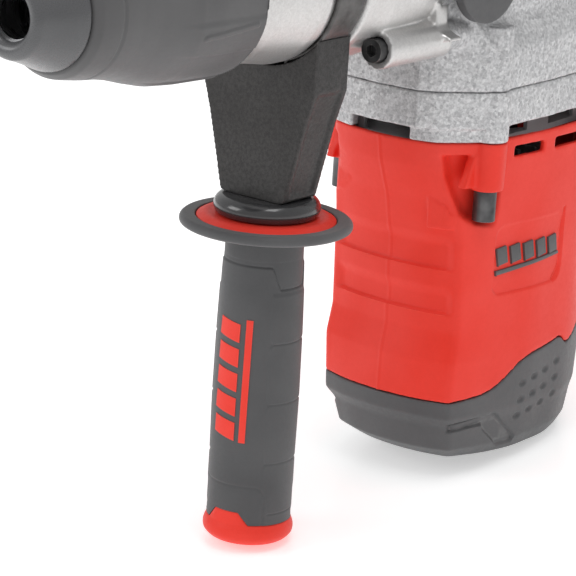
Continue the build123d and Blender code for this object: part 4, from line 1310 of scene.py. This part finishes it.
    def emboss(self, shell: bpy.types.Object) -> None:
        """Moulded bands, label recess and moulding line, pressed into the skin.

        Args:
            shell: The fused housing.
        """
        points, normals = read_points(shell), read_normals(shell)
        x, y, z = points.T
        side_face = smooth_step(np.abs(normals[:, 1]), 0.6, 0.85) * (np.abs(y) > 38.0)
        front_face = smooth_step(normals[:, 0], 0.3, 0.6) * (x > -262.0)
        label = rounded_box(x + 295.0, z + 134.0, 24.0, 15.6, 5.0)
        fade = smooth_step(z, -116.0, -128.0)
        depth = 0.9 * smooth_step(label, 0.4, -0.4) * side_face * (0.25 + 0.75 * fade)
        groove = line_distance(x, z, [(-319.0, -117.0), (-319.0, -143.0), (-314.0, -149.0)])
        depth += 0.8 * smooth_step(groove, 1.1, 0.5) * side_face
        for high, low in ((-120.5, -137.0), (-143.5, -157.0)):
            band = smooth_step(z, low, low + 1.4) * smooth_step(z, high, high - 6.0)
            depth += 1.7 * band * front_face * smooth_step(np.abs(y), 33.0, 27.0)
        seam = smooth_step(np.abs(y), 0.55, 0.25) * front_face * smooth_step(z, -78.0, -79.0)
        depth -= 0.3 * seam
        write_points(shell, points - normals * depth[:, None])

    def base(self) -> None:
        """Dark base with a parting gap, an angled side groove and rows of finger dimples."""
        base = self.shell("base_shell", -150.0, self.sections[-1][0] + 4.0)
        seat = lathe("seat", [(-222.5, 6.2, 0), (-222.5, 14.5, 0), (-206.0, 14.5, 0), (-206.0, 11.3, 0),
                              (-211.0, 11.3, 0), (-211.0, 6.2, 0)], Along.UPRIGHT, (-305.0, 0.0), 60)
        carve(base, [self.region("above", True, -0.25)])
        join(base, [seat])
        remesh(base, 0.65, 3)
        points, normals = read_points(base), read_normals(base)
        x, y, z = points.T
        side_face = smooth_step(np.abs(normals[:, 1]), 0.5, 0.7) * (np.abs(y) > 34.0)
        depth = np.zeros_like(x)
        for row in range(3):
            for column in range(4):
                cx = -297.3 - 8.6 * column - (0.6 if column == 3 else 0.0)
                cz = -193.9 - 7.8 * row + 1.5 * column + 0.2 * column * (column > 2)
                spot = np.hypot((x - cx) / 3.0, (z - cz) / 1.8)
                depth += 0.9 * smooth_step(spot, 1.0, 0.55)
        along_arm = line_distance(x, z, [(-250.0, -209.2), (-268.0, -207.6), (-279.0, -207.6)])
        along_leg = line_distance(x, z, [(-279.5, -209.4), (-294.5, -221.8)])
        arm, leg = smooth_step(along_arm, 2.6, 1.7), smooth_step(along_leg, 5.0, 4.0)
        leg = leg * smooth_step(z, -223.5, -221.5)
        corner_face = smooth_step(np.abs(normals[:, 1]), 0.35, 0.55) * (np.abs(y) > 29.0)
        depth = depth * side_face + 1.5 * np.maximum(arm, leg) * corner_face
        write_points(base, points - normals * depth[:, None])
        settle(base, Body.HOUSING, "grey_plastic", ["base_cap"], 45.0)

    def side_y(self, x: float, z: float) -> float:
        """Y of the outer skin on the left side at a place.

        Args:
            x: Place along the tool.
            z: Height.

        Returns:
            Distance from the middle plane.
        """
        ring = self.section(z, 0.0)
        left = ring[ring[:, 1] > 20.0]
        left = left[np.argsort(left[:, 0])]
        return float(np.interp(x, left[:, 0], left[:, 1]))

    def marks(self) -> None:
        """Plain slanted bars over a long bar in the label recess, on both sides."""
        stations = 13
        for side in (-1, 1):
            bars = []
            for k in range(5):
                start = -272.5 - 8.9 * k
                bars.append([(start - 1.0, -136.4), (start - 7.4, -135.4),
                             (start - 5.6, -127.6), (start + 0.8, -128.6)])
            bars.append([(-272.6, -140.6), (-317.0, -137.4), (-316.4, -135.9), (-272.2, -138.6)])
            solids = []
            for bar in bars:
                first, second, third, fourth = (np.array(point) for point in bar)
                share = np.linspace(0.0, 1.0, stations)[:, None]
                low, high = first + (second - first) * share, fourth + (third - fourth) * share
                loops = []
                for a, b in zip(low, high):
                    loops.append([(x, side * (self.side_y(x, z) + lift), z)
                                  for (x, z), lift in ((a, -1.9), (b, -1.9), (b, 0.05), (a, 0.05))])
                faces = [tuple(range(4)), tuple(range(4 * stations - 4, 4 * stations))]
                faces += [(4 * i + j, 4 * i + (j + 1) % 4, 4 * i + 4 + (j + 1) % 4, 4 * i + 4 + j)
                          for i in range(stations - 1) for j in range(4)]
                solid = mesh_object("bar", np.vstack(loops), faces)
                outward(solid)
                solids.append(solid)
            mark = solids[0]
            join(mark, solids[1:])
            mark.name = "label_bars_left" if side > 0 else "label_bars_right"
            bevel = mark.modifiers.new("edges", "BEVEL")
            bevel.width, bevel.segments = 0.25 * MM, 2
            bake_modifiers(mark)
            settle(mark, Body.HOUSING, "grey_plastic")


# Side handle -------------------------------------------------------------------


@dataclass
class SideHandle:
    """Saddle block, collar, hand guard, grip and end cap."""

    x: float = -158.0
    grip_top: float = -107.2
    skirt_z: float = -231.9
    tooth_z: float = -226.7
    foot_z: float = -242.2
    girth_z: tuple[float, ...] = (-231.9, -226.0, -205.0, -180.0, -150.0, -126.0, -118.0, -107.1)
    girth: tuple[float, ...] = (17.7, 17.4, 17.3, 17.6, 17.3, 16.7, 16.4, 16.3)

    def build(self, frame: dict) -> None:
        """Makes the handle's pieces.
        """
        self.block(frame)
        self.collar()
        self.guard()
        self.grip()
        self.end_cap()
        self.grip_marks()

    def block(self, frame: dict) -> None:
        """Grained block with a rounded rim and closed front and rear faces.
        """
        block = copy_of(frame, "handle_block", "saddle_block")
        weld(block)
        outline = [(-13.5, -36.5), (13.5, -36.5), (13.5, -60.0), (-13.5, -60.0)]
        plates = [prism("plate", outline, low, high, 0)
                  for low, high in ((-149.7, -147.02), (-168.98, -168.4))]
        join(block, plates)
        remesh(block, 0.6, 4)
        points, normals = read_points(block), read_normals(block)
        x, z = points[:, 0], points[:, 2]
        sunk = smooth_step(np.abs(x - self.x), 8.4, 6.8) * smooth_step(np.abs(normals[:, 1]), 0.7, 0.9)
        below = smooth_step(z, -44.0, -48.0) * smooth_step(z, -92.0, -89.0)
        shift = -sunk * below
        write_points(block, points + normals * shift[:, None])
        settle(block, Body.SIDE_HANDLE, "grained_plastic", ["handle_block"], 50.0)

    def collar(self) -> None:
        """Glossy dished collar under the block."""
        collar = lathe("thrust_ring", [
            (-93.1, 4.4, 0.1), (-93.1, 18.6, 0.8), (-94.2, 20.6, 1.0), (-96.0, 22.0, 1.2),
            (-98.6, 22.3, 1.4), (-101.15, 21.2, 1.0), (-101.15, 4.4, 0.1)], Along.UPRIGHT, (self.x, 0.0))
        settle(collar, Body.SIDE_HANDLE, "gloss_black", ["thrust_collar"], 60.0)

    def guard(self) -> None:
        """Dished red insert in a flat rubber disc."""
        insert = lathe("guard_ring", [
            (-101.55, 17.1, 0.2), (-101.55, 22.6, 0.5), (-101.3, 24.4, 0.8), (-101.5, 26.2, 0.8),
            (-102.9, 28.9, 0.6), (-103.4, 29.15, 0.3), (-105.0, 29.15, 0.1), (-105.0, 17.1, 0.1)],
            Along.UPRIGHT, (self.x, 0.0))
        settle(insert, Body.SIDE_GRIP, "red_plastic", ["guard_insert"], 60.0)
        disc = lathe("guard_disc_skin", [
            (-105.15, 17.1, 0.1), (-105.15, 29.4, 0.1), (-102.65, 29.5, 0.5), (-102.6, 34.6, 0.9),
            (-103.9, 36.0, 0.9), (-105.9, 36.0, 0.9), (-106.9, 34.2, 0.8), (-106.9, 17.1, 0.2)],
            Along.UPRIGHT, (self.x, 0.0))
        settle(disc, Body.SIDE_GRIP, "grey_rubber", ["guard_disc"], 60.0)

    def lower_edge(self, degrees: Array) -> Array:
        """Height of the rubber's lower edge round the grip: two teeth cut upward."""
        turn = np.abs((degrees - 4.0 + 90.0) % 180.0 - 90.0)
        return self.skirt_z + (self.tooth_z - self.skirt_z) * np.clip((34.0 - turn) / 15.0, 0.0, 1.0)

    def grip(self) -> None:
        """Rubber sleeve with stepped overmoulds and finger pads."""
        neck_z = -120.3

        def profile(angle: float) -> Array:
            """The skin's closed profile at one angle.

            Args:
                angle: Angle round the grip in radians.

            Returns:
                An m by 2 profile of (height, radius).
            """
            degrees = math.degrees(angle)
            turn = abs((degrees + 90.0) % 180.0 - 90.0)
            foot = float(self.lower_edge(np.array(degrees)))
            z = np.linspace(self.grip_top + 0.1, foot, 420)
            radius = np.interp(z, self.girth_z, self.girth)
            front_line = neck_z - 9.6 * smooth_step(np.array(turn), 50.0, 66.0)
            top_step = smooth_step(z, front_line + 0.35, front_line - 0.35)
            groove = np.exp(-((z - front_line) / 0.45) ** 2)
            side_share = smooth_step(np.array(turn), 50.0, 56.0)
            pitch = (z + 231.0) / 26.0
            pad = np.abs(pitch % 1.0 - 0.5) * 2.0
            across = np.abs(turn - 90.0) / 38.0
            corner = np.hypot(np.maximum(pad - 0.75, 0) / 0.25, np.maximum(across - 0.8, 0) / 0.2)
            span = smooth_step(z, -229.0, -226.0) * smooth_step(z, -131.0, -133.0)
            pads = smooth_step(corner, 1.05, 0.8) * span
            panel = rounded_box(np.full_like(z, min(turn, 90.0) * 0.3), z + 225.0, 17.0, 9.4, 4.5)
            lower = smooth_step(panel, 0.5, -0.1)
            rim = np.exp(-((panel - 0.4) / 0.5) ** 2)
            side_line = np.exp(-((z + 227.2) / 0.4) ** 2) * smooth_step(np.array(turn), 60.0, 66.0)
            radius = (radius + 0.35 * top_step - 0.35 * groove + 0.35 * pads * side_share
                      - 0.25 * lower - 0.35 * rim - 0.4 * side_line)
            outer = np.column_stack([z, radius])
            inner = np.array([(foot, 13.8), (-118.2, 13.8), (-118.2, 16.35), (self.grip_top + 0.1, 16.0)])
            return np.vstack([outer, inner])

        sleeve = turned("grip_skin", profile, Along.UPRIGHT, (self.x, 0.0), 420)
        settle(sleeve, Body.SIDE_GRIP, "grey_rubber", ["grip_sleeve"], 55.0)

    def end_cap(self) -> None:
        """Red foot whose teeth rise into the rubber."""

        def profile(angle: float) -> Array:
            """The foot's closed profile at one angle.

            Args:
                angle: Angle round the grip in radians.

            Returns:
                An m by 2 profile of (height, radius).
            """
            edge = float(self.lower_edge(np.array(math.degrees(angle)))) - 0.15
            return rounded_profile([
                (edge, 13.9, 0.2), (edge, 17.35, 0.4), (min(edge, -231.9) - 0.3, 17.9, 0.5),
                (-235.2, 19.1, 1.8), (-238.4, 19.0, 1.8), (-241.2, 16.2, 1.6), (self.foot_z, 11.8, 1.0),
                (self.foot_z, 0.02, 0.0), (-229.0, 0.02, 0.0), (-229.0, 13.9, 0.2)], 50.0)

        cap = turned("grip_foot", profile, Along.UPRIGHT, (self.x, 0.0), 360)
        settle(cap, Body.SIDE_GRIP, "red_plastic", ["grip_end_cap"], 45.0)

    def grip_marks(self) -> None:
        """Raised red bars on the front of the grip: one long, five slanted."""
        radius = 17.95

        def patch(name: str, outline: Sequence[tuple[float, float]]) -> bpy.types.Object:
            """A raised four-cornered patch from (degrees, height) corners.

            Args:
                name: Object name.
                outline: Its four (degrees, height) corners.

            Returns:
                The new object.
            """
            rows, columns = 12, 10
            a, b, c, d = (np.array(p) for p in outline)
            grid = [[(a * (1 - u) + b * u) * (1 - v) + (d * (1 - u) + c * u) * v
                     for u in np.linspace(0, 1, columns)] for v in np.linspace(0, 1, rows)]
            points = []
            for lift in (-1.2, 0.0):
                for row in grid:
                    for degrees, z in row:
                        r = radius + (np.interp(z, self.girth_z, self.girth) - 17.3) + lift
                        t = math.radians(degrees)
                        points.append((self.x + r * math.cos(t), r * math.sin(t), z))
            n, faces = rows * columns, []
            for i in range(rows - 1):
                for j in range(columns - 1):
                    here, above = i * columns + j, (i + 1) * columns + j
                    q = (here, here + 1, above + 1, above)
                    faces += [tuple(k + n for k in q), q[::-1]]
            edge = ([j for j in range(columns)] + [i * columns + columns - 1 for i in range(1, rows)]
                    + [(rows - 1) * columns + j for j in range(columns - 2, -1, -1)]
                    + [i * columns for i in range(rows - 2, 0, -1)])
            faces += [(p, q, q + n, p + n) for p, q in zip(edge, edge[1:] + edge[:1])]
            made = mesh_object(name, np.array(points), faces)
            outward(made)
            return made

        patches = [patch("grip_bars", [(20.0, -143.0), (29.3, -143.0), (27.2, -196.0), (18.2, -196.0)])]
        for k in range(5):
            top = -143.6 - 10.6 * k
            corner_list = [(-23.0, top), (11.5, top - 1.8), (11.3, top - 9.6), (-24.0, top - 7.4)]
            patches.append(patch("bar", corner_list))
        join(patches[0], patches[1:])
        settle(patches[0], Body.SIDE_GRIP, "red_plastic", (), 40.0)


# Controls and rear handle ------------------------------------------------------


@dataclass
class SoftenedNodes:
    """Pieces that keep their CAD form and get moulded edges."""

    pieces: tuple[tuple[str, str, str, Body, float], ...] = (
        ("mode_knob", "mode_knob_cap", "grey_plastic", Body.MODE_SWITCH, 0.55),
        ("rear_handle_left", "rear_shell_left", "red_plastic", Body.HOUSING, 1.0),
        ("rear_handle_right", "rear_shell_right", "red_plastic", Body.HOUSING, 1.0),
        ("rear_grip_cover", "rear_grip_skin", "grey_rubber", Body.HOUSING, 0.8),
        ("clamp_band", "band_strap", "band_steel", Body.SIDE_HANDLE, 0.45),
    )

    def build(self, frame: dict) -> None:
        """Makes each piece from its node.
        """
        for node, name, slot, body, voxel in self.pieces:
            piece = copy_of(frame, node, name)
            weld(piece)
            remesh(piece, voxel, 3)
            settle(piece, body, slot, [node], 50.0)


# Carried-over CAD nodes --------------------------------------------------------


class CarriedNodes:
    """Gives every CAD node that is still shown its finish and edge shading."""

    def build(self, frame: dict) -> None:
        """Dresses the shown nodes.
        """
        slots = {part["node"]: part["material_slot"] for part in frame["record"]["subparts"]}
        for node, obj in frame["nodes"].items():
            if obj.hide_render:
                continue
            shade(obj, 32.0)
            dress(obj, slots[node])
            LOG.info("%s keeps its CAD shape as %s", node, slots[node])


# Studio ------------------------------------------------------------------------


@dataclass
class Studio:
    """Floor, lights, world and camera."""

    foot_x: float = -170.0
    foot_z: float = -242.2
    heel_x: float = -357.0
    heel_z: float = -226.0
    floor_size: float = 6000.0
    surround: float = 0.60
    camera_place: tuple[float, float, float] = (903.066, 821.612, 245.299)
    heading: float = 37.2924
    pitch: float = 15.7396
    roll: float = 3.6325
    lens: float = 210.25
    sensor: float = 36.0

    def build(self) -> None:
        """Makes the whole studio."""
        self.floor()
        self.world()
        self.lights()
        self.camera()

    def floor(self) -> None:
        """A pale sheet through the two edges that the tool stands on."""
        slope = (self.heel_z - self.foot_z) / (self.heel_x - self.foot_x)
        half = self.floor_size / 2
        middle = (self.foot_x + self.heel_x) / 2
        level = (self.foot_z + self.heel_z) / 2 - 0.3
        places = [(middle + sx * half, sy * half, level + sx * half * slope)
                  for sx, sy in ((-1, -1), (1, -1), (1, 1), (-1, 1))]
        sheet = mesh_object("studio_floor", np.array(places), [(0, 1, 2, 3)])
        material = bpy.data.materials.new("white_acrylic")
        material.use_nodes = True
        shader = material.node_tree.nodes["Principled BSDF"]
        shader.inputs["Base Color"].default_value = (0.93, 0.93, 0.93, 1.0)
        shader.inputs["Roughness"].default_value = 0.32
        shader.inputs["Emission Color"].default_value = WHITE
        shader.inputs["Emission Strength"].default_value = 0.42
        sheet.data.materials.append(material)

    def world(self) -> None:
        """A white surround that lights the tool more softly than it looks."""
        world = bpy.data.worlds.new("white_surround")
        world.use_nodes = True
        back = world.node_tree.nodes["Background"]
        back.inputs["Color"].default_value = WHITE
        wiring = Wiring(world.node_tree)
        seen = wiring.add("ShaderNodeLightPath").outputs["Is Camera Ray"]
        strength = wiring.spread(seen, 0.0, 1.0, self.surround, 1.0)
        world.node_tree.links.new(strength, back.inputs["Strength"])
        bpy.context.scene.world = world
        settings = bpy.context.scene.view_settings
        settings.view_transform = "Standard"
        settings.look = "None"

    def lights(self) -> None:
        """A large overhead softbox and a side softbox."""
        target = Vector((-230.0, 0.0, -90.0)) * MM
        for name, place, size, power in (
            ("overhead_softbox", (100.0, 200.0, 1300.0), 0.9, 9.0),
            ("left_softbox", (900.0, -900.0, 500.0), 0.7, 5.0),
        ):
            light = bpy.data.lights.new(name, "AREA")
            light.shape, light.size, light.energy = "SQUARE", size, power
            lamp = bpy.data.objects.new(name, light)
            bpy.context.scene.collection.objects.link(lamp)
            lamp.location = Vector(place) * MM
            lamp.rotation_mode = "QUATERNION"
            lamp.rotation_quaternion = (target - lamp.location).to_track_quat("-Z", "Y")

    def camera(self) -> None:
        """A long lens from the front left of the tool, a little above it."""
        heading, pitch, roll = (math.radians(a) for a in (self.heading, self.pitch, self.roll))
        level_reach = math.cos(pitch)
        back = Vector((level_reach * math.cos(heading), level_reach * math.sin(heading), math.sin(pitch)))
        level = Vector((-math.sin(heading), math.cos(heading), 0.0))
        rise = back.cross(level)
        right = math.cos(roll) * level + math.sin(roll) * rise
        data = bpy.data.cameras.new("photographer")
        data.lens, data.sensor_width = self.lens, self.sensor
        data.clip_start, data.clip_end = 0.05, 50.0
        camera = bpy.data.objects.new("photographer", data)
        bpy.context.scene.collection.objects.link(camera)
        turn = Matrix((right, back.cross(right), back)).transposed()
        camera.rotation_mode = "QUATERNION"
        camera.rotation_quaternion = turn.to_quaternion()
        camera.location = Vector(self.camera_place) * MM
        bpy.context.scene.camera = camera


def corners(box: tuple[Vector, Vector]) -> list[list[float]]:
    """A box's two corners as plain lists."""
    return [list(box[0]), list(box[1])]


def main() -> None:
    """Builds everything in order."""
    logging.basicConfig(level=logging.INFO, format="%(message)s")
    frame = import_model()
    Studio().build()
    Chuck().build(frame)
    Castings().build(frame)
    MotorShell().build()
    SideHandle().build(frame)
    SoftenedNodes().build(frame)
    CarriedNodes().build(frame)


if __name__ == "__main__":
    main()
